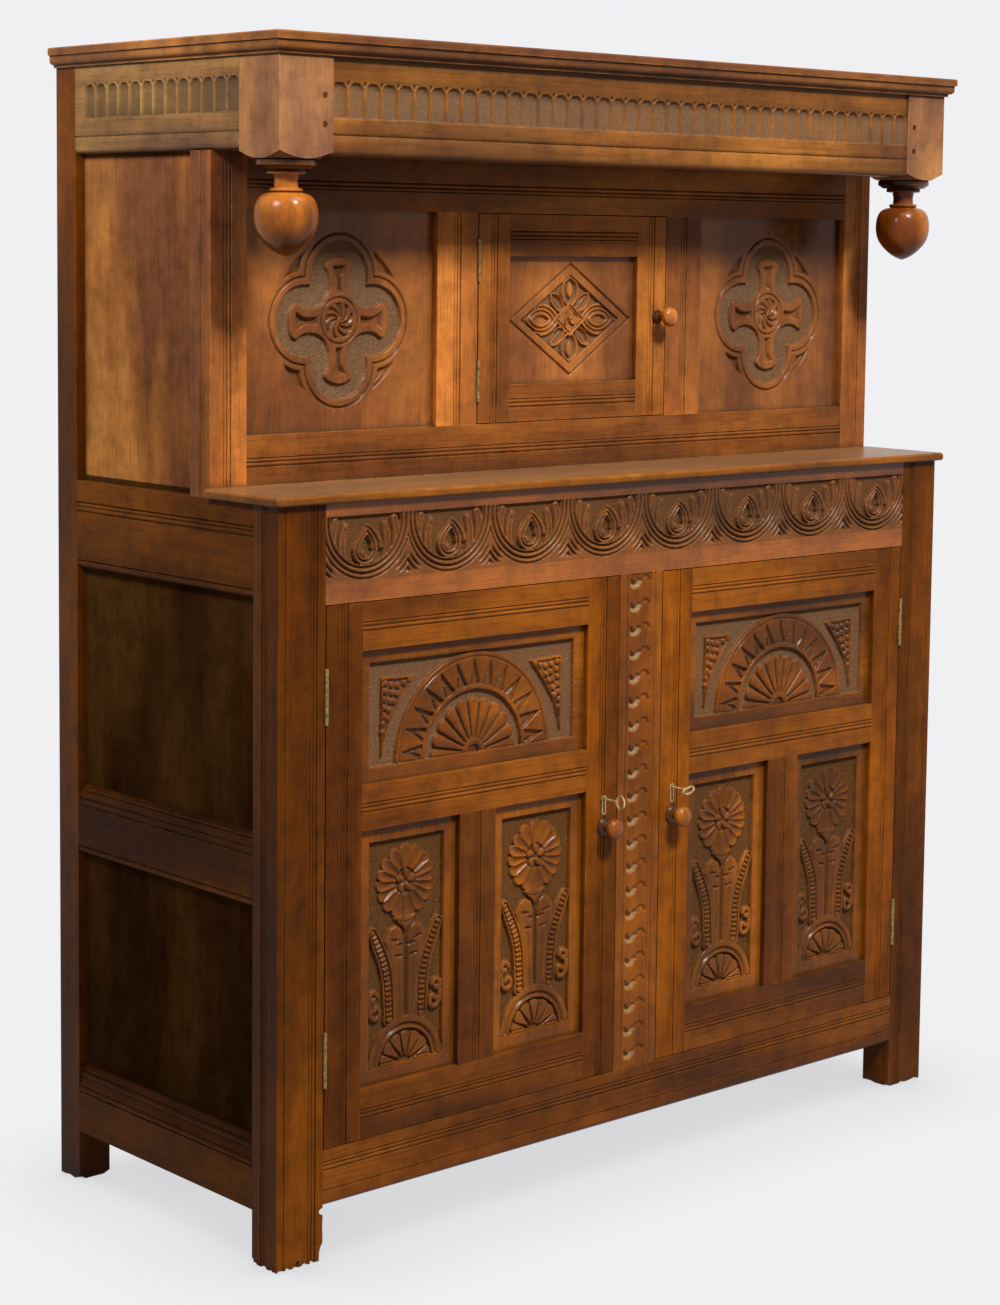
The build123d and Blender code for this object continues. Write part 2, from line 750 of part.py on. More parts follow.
for name, side in side_names:
    with BuildPart() as upper_stile:
        block((side * half, side * upper_inner), (upper_deep, upper_deep + upper_stile_depth),
              (table_low, soffit_level))
        fillet(edges().filter_by(Axis.Z).group_by(Axis.Y)[0], arris)
        for z in (bottom_rail_z, top_rail_z):
            mortise_x(side * upper_inner, side, upper_deep, z, **upper_joint)
        front_groove((side * upper_inner, side * upper_muntin_outer), upper_panel_recess,
                     upper_opening_z, deep=upper_deep)
        side_groove(side, (upper_deep + upper_stile_depth, rear_front), side_openings_z[2])
        front_line(side * (half - upper_stile_reed), (table_top_level, soffit_level),
                   deep=upper_deep, outline=reed_outline)
        side_line(side, upper_deep + upper_stile_side_reed, (table_low, soffit_level),
                  outline=reed_outline)
        stub_tenon(side, table_low - stub_length, table_low)
        stub_tenon(side, soffit_level, soffit_level + stub_length)
    save(upper_stile.part, f"upper_stile_{name}")

save(upper_rail(bottom_rail_z, upper_bottom_reed), "upper_bottom_rail")
save(upper_rail(top_rail_z, upper_top_reed), "upper_top_rail")

muntins = []
for side in (-1, 1):
    with BuildPart() as upper_muntin:
        block((side * upper_muntin_outer, side * upper_half_opening),
              (upper_deep, upper_deep + upper_rail_thickness), upper_opening_z)
        fillet(edges().filter_by(Axis.Z).group_by(Axis.Y)[0], arris)
        front_groove((side * upper_inner, side * upper_muntin_outer), upper_panel_recess,
                     upper_opening_z, deep=upper_deep)
        front_line(side * (upper_muntin_outer - upper_muntin_width / 2), upper_opening_z,
                   deep=upper_deep, outline=reed_outline)
        if side < 0:
            for z in upper_hinges_z:
                hinge_recess(side, upper_hinge_x, upper_deep, z, 1)
    muntins.append(upper_muntin.part)
save(Compound(muntins), "upper_muntins")

upper_panel_middle = (upper_inner + upper_muntin_outer) / 2
upper_middle_z = (upper_opening_z[0] + upper_opening_z[1]) / 2
for name, side in side_names:
    with BuildPart() as upper_panel:
        block((side * (upper_inner + tongue_depth), side * (upper_muntin_outer - tongue_depth)),
              (upper_deep + upper_panel_recess, upper_deep + upper_panel_recess + panel_thickness),
              (upper_opening_z[0] - tongue_depth, upper_opening_z[1] + tongue_depth))
        panel_face = Plane(origin=(side * upper_panel_middle, y_at(upper_deep + upper_panel_recess),
                                   upper_middle_z), x_dir=(1, 0, 0), z_dir=(0, -1, 0))
        with BuildSketch(panel_face):
            with PolarLocations(quatrefoil_reach, 4):
                Circle(quatrefoil_lobe)
            Rectangle(2 * quatrefoil_reach, 2 * quatrefoil_reach)
        extrude(amount=-quatrefoil_depth, mode=Mode.SUBTRACT)
    save(upper_panel.part, f"upper_panel_{name}")

# ---------------------------------------------------------------- canopy
def peg_holes(side):
    """Holes for the two pegs that hold the front rail's tenon in a corner block."""
    for level in peg_levels:
        rod(side * (block_inner + peg_inset), -over, block_low + level, peg_radius + joint_gap / 2,
            over + peg_length + joint_gap, Mode.SUBTRACT)


with BuildPart() as canopy_front_rail:
    block((-block_inner, block_inner), (block_proud, block_proud + canopy_rail_thickness),
          canopy_front_z)
    round_edge((0, y_at(block_proud), front_rail_low), canopy_nose)
    front_line((-block_inner, block_inner), front_rail_low + canopy_bead, deep=block_proud)
    cut((-block_inner, block_inner), (block_proud - over, block_proud + frieze_recess),
        (front_rail_low + nulling_low, front_rail_low + nulling_low + nulling_height))
    for side in (-1, 1):
        tenon_x(side * block_inner, side, block_proud, canopy_front_z)
        peg_holes(side)
save(canopy_front_rail.part, "canopy_front_rail")

for name, side in side_names:
    with BuildPart() as canopy_side_rail:
        span = (block_size, rear_front)
        block((side * half, side * (half - canopy_rail_thickness)), span, canopy_side_z)
        round_edge((side * half, y_at(depth / 2), soffit_level), side_canopy_nose)
        side_line(side, span, soffit_level + side_canopy_bead)
        band_low = soffit_level + side_nulling_low
        cut((side * (half + over), side * (half - frieze_recess)),
            (block_size, rear_front - side_nulling_end), (band_low, band_low + nulling_height))
        side_tenon(side, span[0], -1, canopy_side_z)
        side_tenon(side, span[1], 1, canopy_side_z)
        side_groove(side, (upper_deep + upper_stile_depth, rear_front), side_openings_z[2])
        stub_tenon(side, soffit_level, soffit_level + stub_length, joint_gap, Mode.SUBTRACT)
    save(canopy_side_rail.part, f"canopy_side_rail_{name}")

    with BuildPart() as corner_block:
        block((side * half, side * block_inner), (0, block_size), (block_low, cornice_low))
        fillet(edges().filter_by(Axis.Z), arris)
        axis_point = (side * block_axis, y_at(block_size / 2), block_low)
        with BuildSketch(Plane(origin=axis_point, x_dir=(1, 0, 0), z_dir=(0, -1, 0))) as bevel:
            with BuildLine():
                face_radius = block_size / 2
                corner_radius = face_radius * sqrt(2)
                Polyline((face_radius, 0), (corner_radius, block_rise),
                         (corner_radius + over, block_rise), (corner_radius + over, -over),
                         (face_radius, -over), close=True)
            make_face()
        revolve(bevel.sketch, axis=Axis(axis_point, (0, 0, 1)), mode=Mode.SUBTRACT)
        mortise_x(side * block_inner, side, block_proud, canopy_front_z)
        side_mortise(side, block_size, -1, canopy_side_z)
        with Locations(axis_point):
            Cylinder(pendant_dowel_radius + joint_gap, pendant_dowel_length + joint_gap,
                     align=(Align.CENTER, Align.CENTER, Align.MIN), mode=Mode.SUBTRACT)
        peg_holes(side)
    save(corner_block.part, f"corner_block_{name}")

    with BuildPart() as pendant:
        with BuildSketch(Plane(origin=axis_point, x_dir=(1, 0, 0), z_dir=(0, -1, 0))) as turning:
            with BuildLine():
                Polyline((0, pendant_dowel_length), (pendant_dowel_radius, pendant_dowel_length),
                         (pendant_dowel_radius, 0), *pendant_profile)
                Spline(*pendant_ball)
                Line(pendant_ball[-1], (0, pendant_dowel_length))
            make_face()
        revolve(turning.sketch, axis=Axis(axis_point, (0, 0, 1)))
    save(pendant.part, f"pendant_{name}")

pegs = []
for side in (-1, 1):
    for level in peg_levels:
        with BuildPart() as peg:
            rod(side * (block_inner + peg_inset), -peg_proud, block_low + level, peg_radius,
                peg_length + peg_proud)
        pegs.append(peg.part)
save(Compound(pegs), "pegs")

with BuildPart() as soffit_board:
    soffit_z = (soffit_level, soffit_level + soffit_thickness)
    soffit_edge = half - canopy_rail_thickness
    block((-soffit_edge, soffit_edge), (block_proud + canopy_rail_thickness, back_front), soffit_z)
    for side in (-1, 1):
        cut((side * (block_inner - groove_play), side * half), (0, block_size + groove_play),
            (soffit_z[0] - over, soffit_z[1] + over))
    notch_rear_posts(soffit_z)
save(soffit_board.part, "soffit_board")

with BuildPart() as cornice_board:
    mould_low = cornice_low + cornice_low_fillet
    top_low = cornice_low + cornice_height - cornice_top_fillet
    mould_out = cornice_overhang - cornice_step
    block((-half - mould_out, half + mould_out), (-mould_out, depth), (mould_low, top_low))
    fillet(nosed_edges(0, depth), cornice_mould_radius)
    block((-half - cornice_overhang, half + cornice_overhang), (-cornice_overhang, depth),
          (top_low, cornice_low + cornice_height))
    fillet(nosed_edges(-1, depth), cornice_top_radius)
    block((-half - cornice_low_overhang, half + cornice_low_overhang),
          (-cornice_low_overhang, depth), (cornice_low, mould_low))
save(cornice_board.part, "cornice_board")


# ---------------------------------------------------------------- carved door panels
def sunk_panel(x, recess, deep, z, border):
    """A panel in its grooves with a sunk ground inside a plain border."""
    x_low, x_high = sorted(x)
    face = deep + recess
    with BuildPart() as panel:
        block((x_low - tongue_depth, x_high + tongue_depth), (face, face + panel_thickness),
              (z[0] - tongue_depth, z[1] + tongue_depth))
        cut((x_low + border, x_high - border), (face - over, face + ground_depth),
            (z[0] + border, z[1] - border))
    return panel.part


def turned_knob(x, deep, z, profile, head, spigot_radius, spigot_length):
    """A knob turned about the Y axis, with its spigot or spindle."""
    with BuildPart() as knob:
        plane = Plane(origin=(x, y_at(deep), z), x_dir=(1, 0, 0), z_dir=(0, 0, 1))
        with BuildSketch(plane) as outline:
            with BuildLine():
                points = [(radius, -out) for out, radius in profile]
                Polyline((0, spigot_length), (spigot_radius, spigot_length), (spigot_radius, 0),
                         *points)
                Spline(*[(radius, -out) for out, radius in head])
                Line((0, -head[-1][0]), (0, spigot_length))
            make_face()
        revolve(outline.sketch, axis=Axis((x, y_at(deep), z), (0, 1, 0)))
    return knob.part


def keyhole(x, z, head, slot, length, deep_from, deep_to, mode):
    """A keyhole shape: a round head at the key's axis and a slot below it."""
    plane = Plane(origin=(x, y_at(deep_from), z), x_dir=(1, 0, 0), z_dir=(0, -1, 0))
    bottom = length - escutcheon_radius
    with BuildSketch(plane) as shape:
        Circle(head)
        with Locations((0, -(bottom - slot) / 2)):
            Rectangle(2 * slot, bottom - slot)
        with Locations((0, -(bottom - slot))):
            Circle(slot)
    extrude(shape.sketch, amount=deep_from - deep_to, mode=mode)


# ---------------------------------------------------------------- lower doors
fan_z = (fan_low, top_rail_low)
flower_z = (bottom_rail_high, mid_rail_low)
door_rails_z = ((door_low, bottom_rail_high), (mid_rail_low, fan_low), (top_rail_low, door_high))
door_joint = {"long": door_tenon_length, "thick": door_tenon_thickness,
              "setback": door_tenon_setback}
muntin_low = door_middle - door_muntin_width / 2
muntin_high = door_middle + door_muntin_width / 2

for name, side in side_names:
    full_x = (side * stile_inner_edge, side * hinge_stile_edge)
    flower_x = (
        (side * stile_inner_edge, side * muntin_low),
        (side * muntin_high, side * hinge_stile_edge),
    )

    def panel_grooves():
        """Cuts the grooves for the door's three panels."""
        front_groove(full_x, door_panel_recess, fan_z)
        for x in flower_x:
            front_groove(x, door_panel_recess, flower_z)

    with BuildPart() as lock_stile:
        block((side * door_edge, side * stile_inner_edge), (0, door_thickness), (door_low, door_high))
        fillet(edges().filter_by(Axis.Z).group_by(Axis.Y)[0], arris)
        panel_grooves()
        for z in door_rails_z:
            mortise_x(side * stile_inner_edge, -side, 0, z, **door_joint)
        front_line(side * (door_edge + door_stile_width / 2), (door_low, door_high),
                   outline=reed_outline)
        cut((side * (door_edge - over), side * (door_edge + case_reach + metal_gap)),
            (case_front - metal_gap, door_thickness + over),
            (key_z - case_height / 2 - metal_gap, key_z + case_height / 2 + metal_gap))
        keyhole(side * key_x, key_z, escutcheon_radius + joint_gap, escutcheon_slot + joint_gap,
                escutcheon_length + joint_gap, -over, case_front, Mode.SUBTRACT)
        rod(side * key_x, -over, knob_z, knob_spigot_radius + joint_gap / 2,
            over + knob_spigot_length + joint_gap, Mode.SUBTRACT)
    with BuildPart() as hinge_stile:
        block((side * hinge_stile_edge, side * door_hinge_edge), (0, door_thickness),
              (door_low, door_high))
        fillet(edges().filter_by(Axis.Z).group_by(Axis.Y)[0], arris)
        panel_grooves()
        for z in door_rails_z:
            mortise_x(side * hinge_stile_edge, side, 0, z, **door_joint)
        front_line(side * (door_hinge_edge - door_stile_width / 2), (door_low, door_high),
                   outline=reed_outline)
        for z in lower_hinges_z:
            hinge_recess(side, side * lower_hinge_x, 0, z, -1)
    save(Compound([lock_stile.part, hinge_stile.part]), f"{name}_door_stiles")

    rails = []
    for number, z in enumerate(door_rails_z):
        with BuildPart() as door_rail:
            block(full_x, (0, door_thickness), z)
            for x_end, out in ((side * stile_inner_edge, -side), (side * hinge_stile_edge, side)):
                tenon_x(x_end, out, 0, z, **door_joint)
            panel_grooves()
            front_line(full_x, (z[0] + z[1]) / 2, outline=reed_outline)
            if number < 2:
                mouth = z[1] if number == 0 else z[0]
                reach = door_tenon_length / 2 + joint_gap
                cut((side * (muntin_low + tenon_shoulder), side * (muntin_high - tenon_shoulder)),
                    (door_tenon_setback - joint_gap,
                     door_tenon_setback + door_tenon_thickness + joint_gap),
                    (mouth - reach, mouth + reach))
        rails.append(door_rail.part)
    with BuildPart() as door_muntin:
        block((side * muntin_low, side * muntin_high), (0, door_thickness), flower_z)
        panel_grooves()
        block((side * (muntin_low + tenon_shoulder + joint_gap),
               side * (muntin_high - tenon_shoulder - joint_gap)),
              (door_tenon_setback, door_tenon_setback + door_tenon_thickness),
              (flower_z[0] - door_tenon_length / 2, flower_z[1] + door_tenon_length / 2))
        front_line(side * door_middle, flower_z, outline=reed_outline)
    rails.append(door_muntin.part)
    save(Compound(rails), f"{name}_door_rails")

    save(sunk_panel(full_x, door_panel_recess, 0, fan_z, fan_border), f"{name}_door_fan_panel")
    flowers = [sunk_panel(x, door_panel_recess, 0, flower_z, flower_border) for x in flower_x]
    save(Compound(flowers), f"{name}_door_flower_panels")

    save(turned_knob(side * key_x, 0, knob_z, knob_profile, knob_head, knob_spigot_radius,
                     knob_spigot_length), f"{name}_door_knob")

    with BuildPart() as escutcheon:
        keyhole(side * key_x, key_z, escutcheon_radius, escutcheon_slot, escutcheon_length,
                -escutcheon_proud, escutcheon_depth, Mode.ADD)
        keyhole(side * key_x, key_z, escutcheon_radius - escutcheon_wall,
                escutcheon_slot - escutcheon_wall, escutcheon_length - escutcheon_foot,
                -escutcheon_proud - over, escutcheon_depth + over, Mode.SUBTRACT)
    save(escutcheon.part, f"{name}_escutcheon")

    with BuildPart() as lock_case:
        case_z = (key_z - case_height / 2, key_z + case_height / 2)
        case_x = (side * door_edge, side * (door_edge + case_reach))
        block(case_x, (case_front, door_thickness), case_z)
        cut((side * (door_edge + case_wall), side * (door_edge + case_reach - case_wall)),
            (case_front + case_wall, door_thickness - case_wall),
            (case_z[0] + case_wall, case_z[1] - case_wall))
        cut((side * (door_edge - over), side * (door_edge + case_wall + over)),
            (bolt_front - metal_gap, bolt_front + bolt_thickness + metal_gap),
            (bolt_low - metal_gap, bolt_high + metal_gap))
        keyhole(side * key_x, key_z, escutcheon_radius - escutcheon_wall,
                escutcheon_slot - escutcheon_wall, escutcheon_length - escutcheon_foot,
                case_front - over, case_front + case_wall + over, Mode.SUBTRACT)
        rod(side * key_x, case_front + case_wall, key_z, key_shank_radius + running_fit,
            case_depth, Mode.SUBTRACT)
    save(lock_case.part, f"{name}_lock_case")

    with BuildPart() as lock_bolt:
        bolt_start = door_edge + bolt_inset
        bolt_deep = (bolt_front, bolt_front + bolt_thickness)
        block((side * bolt_start, side * (bolt_start + bolt_length)), bolt_deep,
              (bolt_low, bolt_high))
        arch = key_bit_length + 2 * metal_gap
        arch_x = (key_x, key_x + bolt_throw)
        for x in arch_x:
            rod(side * x, bolt_front - over, key_z, arch, bolt_thickness + 2 * over, Mode.SUBTRACT)
        cut((side * arch_x[0], side * arch_x[1]),
            (bolt_front - over, bolt_front + bolt_thickness + over), (key_z, key_z + arch))
    save(lock_bolt.part, f"{name}_lock_bolt")

    with BuildPart() as key:
        bow_face = Plane(origin=(side * key_x, y_at(-bow_centre), key_z),
                         x_dir=(0, 1, 0), z_dir=(-1, 0, 0))
        with BuildSketch(bow_face) as bow:
            Ellipse(bow_outer_length, bow_outer_height)
            Ellipse(bow_outer_length - bow_wire, bow_outer_height - bow_wire, mode=Mode.SUBTRACT)
        extrude(bow.sketch, amount=bow_wire / 2, both=True)
        shank_start = -bow_centre + bow_outer_length - bow_wire / 2
        shank_end = door_thickness - metal_gap
        rod(side * key_x, shank_start, key_z, key_shank_radius, shank_end - shank_start)
        rod(side * key_x, shank_start, key_z, key_collar_radius, key_collar_length)
        block((side * key_x - key_bit_thickness / 2, side * key_x + key_bit_thickness / 2),
              bolt_deep, (key_z - key_bit_length, key_z))
    turn = right_key_turn if side > 0 else 0.0
    turned_key = key.part.rotate(Axis((side * key_x, y_at(0), key_z), (0, 1, 0)), turn)
    save(turned_key, f"{name}_key")

    leaves = [hinge_leaf(side, side * lower_hinge_x, 0, z, -1, 1) for z in lower_hinges_z]
    save(Compound(leaves), f"{name}_door_hinge_leaves")

# ---------------------------------------------------------------- upper door
upper_left = -upper_half_opening + hinge_gap
upper_right = upper_half_opening - door_gap
upper_panel_x = (upper_left + upper_door_stile, upper_right - upper_door_stile)
upper_panel_z = (upper_door_z[0] + upper_door_bottom, upper_door_z[1] - upper_door_top)
upper_rails_z = ((upper_door_z[0], upper_panel_z[0]), (upper_panel_z[1], upper_door_z[1]))
upper_door_deep = (upper_deep, upper_deep + door_thickness)


def upper_door_groove():
    """Cuts the groove for the upper door's panel."""
    front_groove(upper_panel_x, door_panel_recess, upper_panel_z, deep=upper_deep)


upper_frame = []
for x, inner, out in (((upper_left, upper_panel_x[0]), upper_panel_x[0], -1),
                      ((upper_panel_x[1], upper_right), upper_panel_x[1], 1)):
    with BuildPart() as upper_door_post:
        block(x, upper_door_deep, upper_door_z)
        fillet(edges().filter_by(Axis.Z).group_by(Axis.Y)[0], arris)
        upper_door_groove()
        for z in upper_rails_z:
            mortise_x(inner, out, upper_deep, z, **door_joint)
        front_line((x[0] + x[1]) / 2, upper_door_z, deep=upper_deep, outline=reed_outline)
        if out < 0:
            for z in upper_hinges_z:
                hinge_recess(-1, upper_hinge_x, upper_deep, z, -1)
        else:
            rod(upper_knob_x, upper_deep - over, upper_knob_z, spindle_radius + running_fit,
                door_thickness + 2 * over, Mode.SUBTRACT)
    upper_frame.append(upper_door_post.part)
for z in upper_rails_z:
    with BuildPart() as upper_door_rail:
        block(upper_panel_x, upper_door_deep, z)
        for inner, out in ((upper_panel_x[0], -1), (upper_panel_x[1], 1)):
            tenon_x(inner, out, upper_deep, z, **door_joint)
        upper_door_groove()
        front_line(upper_panel_x, (z[0] + z[1]) / 2, deep=upper_deep, outline=reed_outline)
    upper_frame.append(upper_door_rail.part)
save(Compound(upper_frame), "upper_door_frame")

with BuildPart() as upper_door_panel:
    panel_deep = upper_deep + door_panel_recess
    block((upper_panel_x[0] - tongue_depth, upper_panel_x[1] + tongue_depth),
          (panel_deep, panel_deep + panel_thickness),
          (upper_panel_z[0] - tongue_depth, upper_panel_z[1] + tongue_depth))
    lozenge_face = Plane(origin=((upper_panel_x[0] + upper_panel_x[1]) / 2, y_at(panel_deep),
                                 (upper_panel_z[0] + upper_panel_z[1]) / 2),
                         x_dir=(1, 0, 0), z_dir=(0, -1, 0))
    with BuildSketch(lozenge_face):
        for shrink, mode in ((0, Mode.ADD), (lozenge_line, Mode.SUBTRACT)):
            across = lozenge_width / 2 - shrink * lozenge_width / lozenge_height
            up = lozenge_height / 2 - shrink
            with BuildLine():
                Polyline((-across, 0), (0, up), (across, 0), (0, -up), close=True)
            make_face(mode=mode)
    extrude(amount=-line_depth, mode=Mode.SUBTRACT)
save(upper_door_panel.part, "upper_door_panel")

save(turned_knob(upper_knob_x, upper_deep, upper_knob_z, upper_knob_profile, upper_knob_head,
                 spindle_radius, door_thickness + metal_gap + catch_thickness), "upper_knob")

with BuildPart() as upper_catch:
    catch_front = upper_deep + door_thickness + metal_gap
    block((upper_knob_x - catch_width / 2, upper_knob_x + catch_width / 2),
          (catch_front, catch_front + catch_thickness),
          (upper_knob_z - catch_length, upper_knob_z + catch_width / 2))
    rod(upper_knob_x, catch_front - over, upper_knob_z, spindle_radius + running_fit,
        catch_thickness + 2 * over, Mode.SUBTRACT)
save(upper_catch.part, "upper_catch")

upper_leaves = [hinge_leaf(-1, upper_hinge_x, upper_deep, z, -1, 1) for z in upper_hinges_z]
save(Compound(upper_leaves), "upper_door_hinge_leaves")

frame_leaves = []
for side in (-1, 1):
    for z in lower_hinges_z:
        frame_leaves.append(hinge_leaf(side, side * lower_hinge_x, 0, z, 1, 0))
        frame_leaves.append(hinge_pin(side * lower_hinge_x, 0, z))
for z in upper_hinges_z:
    frame_leaves.append(hinge_leaf(-1, upper_hinge_x, upper_deep, z, 1, 0))
    frame_leaves.append(hinge_pin(upper_hinge_x, upper_deep, z))
save(Compound(frame_leaves), "frame_hinge_leaves")

print(f"height {height:.1f}, front face at y {front_y:.1f}, key level {key_z:.1f}")
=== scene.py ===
# %% [markdown]
# # An oak court cupboard
# A court cupboard has a two-door base, a smaller cupboard set back on top of it, and a canopy
# with turned drops. This lesson dresses the plain joinery with wood, wax, brass and hand carving.
# Plain posts, rails and boards keep their solid from the frame and only get a finish. Carved
# boards are made again as fine meshes, because carving is shape, not colour.

import json
import math

import bpy
import numpy as np
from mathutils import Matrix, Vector

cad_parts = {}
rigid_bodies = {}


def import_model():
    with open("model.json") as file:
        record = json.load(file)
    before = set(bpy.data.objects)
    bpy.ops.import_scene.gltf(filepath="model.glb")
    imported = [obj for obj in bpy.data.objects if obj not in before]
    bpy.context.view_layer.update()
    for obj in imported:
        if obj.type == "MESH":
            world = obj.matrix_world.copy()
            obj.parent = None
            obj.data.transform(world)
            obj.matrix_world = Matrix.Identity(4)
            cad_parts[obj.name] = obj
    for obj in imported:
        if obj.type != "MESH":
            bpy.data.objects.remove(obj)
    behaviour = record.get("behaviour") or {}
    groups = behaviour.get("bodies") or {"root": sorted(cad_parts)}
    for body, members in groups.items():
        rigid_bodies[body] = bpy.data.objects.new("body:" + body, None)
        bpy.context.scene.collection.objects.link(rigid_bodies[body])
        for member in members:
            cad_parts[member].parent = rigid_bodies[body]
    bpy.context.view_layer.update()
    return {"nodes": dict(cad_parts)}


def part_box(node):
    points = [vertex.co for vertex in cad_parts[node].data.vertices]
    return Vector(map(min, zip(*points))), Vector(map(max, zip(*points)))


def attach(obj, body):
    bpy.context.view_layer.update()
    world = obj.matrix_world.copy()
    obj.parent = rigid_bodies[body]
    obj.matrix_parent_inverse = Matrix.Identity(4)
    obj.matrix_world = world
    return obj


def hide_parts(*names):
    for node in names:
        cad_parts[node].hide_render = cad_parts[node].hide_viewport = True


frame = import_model()
mm = 0.001

# %% [markdown]
# ## Where we stand
# The camera stands in front of the cupboard and well to its left, at shoulder height, with a
# longish lens. It hardly tilts, and the view is shifted down instead, so that upright lines stay
# nearly upright.

# %% The camera
CAMERA_PLACE = (-2.7554, -3.0078, 1.3645)
CAMERA_TURN = (84.495, -0.630, -41.755)
bpy.ops.object.camera_add(location=CAMERA_PLACE, rotation=[math.radians(a) for a in CAMERA_TURN])
camera = bpy.context.object
camera.name = "camera"
camera.data.sensor_width = 36
camera.data.lens = 74.655
camera.data.shift_y = -0.1168
camera.data.dof.use_dof = False
bpy.context.scene.camera = camera
print("the camera is", round(camera.location.length, 2), "m from the middle")

# %% [markdown]
# ## A plain pale room
# Furniture is shown on white paper. The paper is only what the camera and the shiny surfaces
# see: the world gives the camera and the reflections a pale grey, and lights the wood with a
# faint warm one. Three lamps model the carving: a strong one high in front, a weak narrow one
# for the left side, and a broad one over the top board. Both the room and every finish are
# trees of shader nodes, so a short helper comes first that adds one node to a tree.

# %% Nodes for the room and the finishes


def feed(tree, node, inputs):
    """Gives a node's inputs plain values, or links them to other nodes' outputs."""
    for socket, value in inputs.items():
        if isinstance(value, bpy.types.NodeSocket):
            tree.links.new(value, node.inputs[socket])
        else:
            node.inputs[socket].default_value = value


def new_node(tree, kind, inputs, **settings):
    """A shader node with its own settings and its inputs."""
    node = tree.nodes.new("ShaderNode" + kind)
    for setting, value in settings.items():
        setattr(node, setting, value)
    feed(tree, node, inputs)
    return node


def seen_directly(tree):
    """1 for a ray from the camera, off a gloss or through a pane, 0 for light on things."""
    ray = new_node(tree, "LightPath", {})
    value = ray.outputs["Is Camera Ray"]
    for kind in ("Is Glossy Ray", "Is Transmission Ray"):
        either = new_node(tree, "Math", {0: value, 1: ray.outputs[kind]}, operation="MAXIMUM")
        value = either.outputs[0]
    return value


def show_and_light(tree, output, seen, lighting):
    """Ends a tree with one shader for what is seen of it and another for the light it gives."""
    mix = new_node(tree, "MixShader", {0: seen_directly(tree), 1: lighting.outputs[0],
                                       2: seen.outputs[0]})
    new_node(tree, output, {"Surface": mix.outputs[0]})


def openness(tree, reach, samples=6):
    """1 in the open and less in corners, where other faces stand within reach."""
    node = new_node(tree, "AmbientOcclusion", {"Distance": reach}, samples=samples)
    return node.outputs["AO"]


# %% The room's light
PAPER = (0.871, 0.871, 0.896, 1)
ROOM_TINT, ROOM_STRENGTH = (1.0, 0.93, 0.82, 1), 0.085
scene = bpy.context.scene
scene.view_settings.view_transform = "Standard"
world = bpy.data.worlds.new("paper_room")
scene.world = world
world.use_nodes = True
world.node_tree.nodes.clear()
show_and_light(
    world.node_tree, "OutputWorld",
    new_node(world.node_tree, "Background", {"Color": PAPER, "Strength": 1.0}),
    new_node(world.node_tree, "Background", {"Color": ROOM_TINT, "Strength": ROOM_STRENGTH}))


def soft_box(name, place, towards, wide, high, watts, colour=(1, 1, 1), spread=180):
    """A broad lamp at a place, turned towards a point. A small spread narrows its beam."""
    aim = (Vector(towards) - Vector(place)).to_track_quat("-Z", "Y").to_euler()
    bpy.ops.object.light_add(type="AREA", location=place, rotation=aim)
    lamp = bpy.context.object
    lamp.name = name
    lamp.data.shape = "RECTANGLE"
    lamp.data.size = wide
    lamp.data.size_y = high
    lamp.data.energy = watts
    lamp.data.color = colour
    lamp.data.spread = math.radians(spread)


soft_box("key_lamp", (-0.3, -2.9, 4.0), (0, -0.2, 1.0), wide=0.7, high=0.7, watts=160,
         colour=(1, 0.985, 0.96))
soft_box("side_lamp", (-2.1, -0.5, 2.6), (-0.66, 0.05, 1.75), wide=0.6, high=0.6, watts=5,
         spread=60)
soft_box("top_lamp", (0.0, -1.0, 3.4), (0, -0.1, 1.2), wide=1.8, high=1.2, watts=25)

# %% The paper floor
FLOOR_SIZE, FLOOR_DROP = 24, 0.0005
SHADOW_REACH, DEEPEST_SHADOW = 0.22, 0.35
bpy.ops.object.select_all(action="DESELECT")
bpy.ops.mesh.primitive_plane_add(size=FLOOR_SIZE, location=(0, 0, -FLOOR_DROP))
floor = bpy.context.object
floor.name = "paper_floor"
paper_finish = bpy.data.materials.new("paper")
paper_finish.use_nodes = True
tree = paper_finish.node_tree
tree.nodes.clear()
soften = new_node(tree, "MapRange", {"Value": openness(tree, SHADOW_REACH, samples=8),
                                     "From Min": DEEPEST_SHADOW})
shadow = new_node(tree, "MixRGB", {"Fac": soften.outputs["Result"],
                                   "Color1": (0.66, 0.66, 0.68, 1), "Color2": PAPER})
show_and_light(tree, "OutputMaterial",
               new_node(tree, "Emission", {"Color": shadow.outputs["Color"], "Strength": 1.0}),
               new_node(tree, "BsdfDiffuse", {"Color": (0.30, 0.30, 0.31, 1)}))
floor.data.materials.append(paper_finish)
print("the floor lies at", floor.location.z)

# %% [markdown]
# ## Old oak
# Oak looks like oak because of several scales of figure: slow patches of stain and wax from
# board to board, soft streaks of early and late wood that run with the grain, and short dark
# pores. Each is a noise, pressed flat across the grain and drawn out along it. Ambient
# occlusion darkens corners and grooves towards a dark brown, which is dirt and painted shade
# together. A bevelled normal lightens the edges, which is rubbed wear and a painted
# highlight together. One function makes every oak here. Only its grain direction, tone
# and gloss change.

# %% Noises, ramps and blends
ALONG = {
    "x": ((7, 130, 130), (1.5, 6, 6), (16, 560, 560)),
    "y": ((130, 7, 130), (6, 1.5, 6), (560, 16, 560)),
    "z": ((130, 130, 7), (6, 6, 1.5), (560, 560, 16)),
}


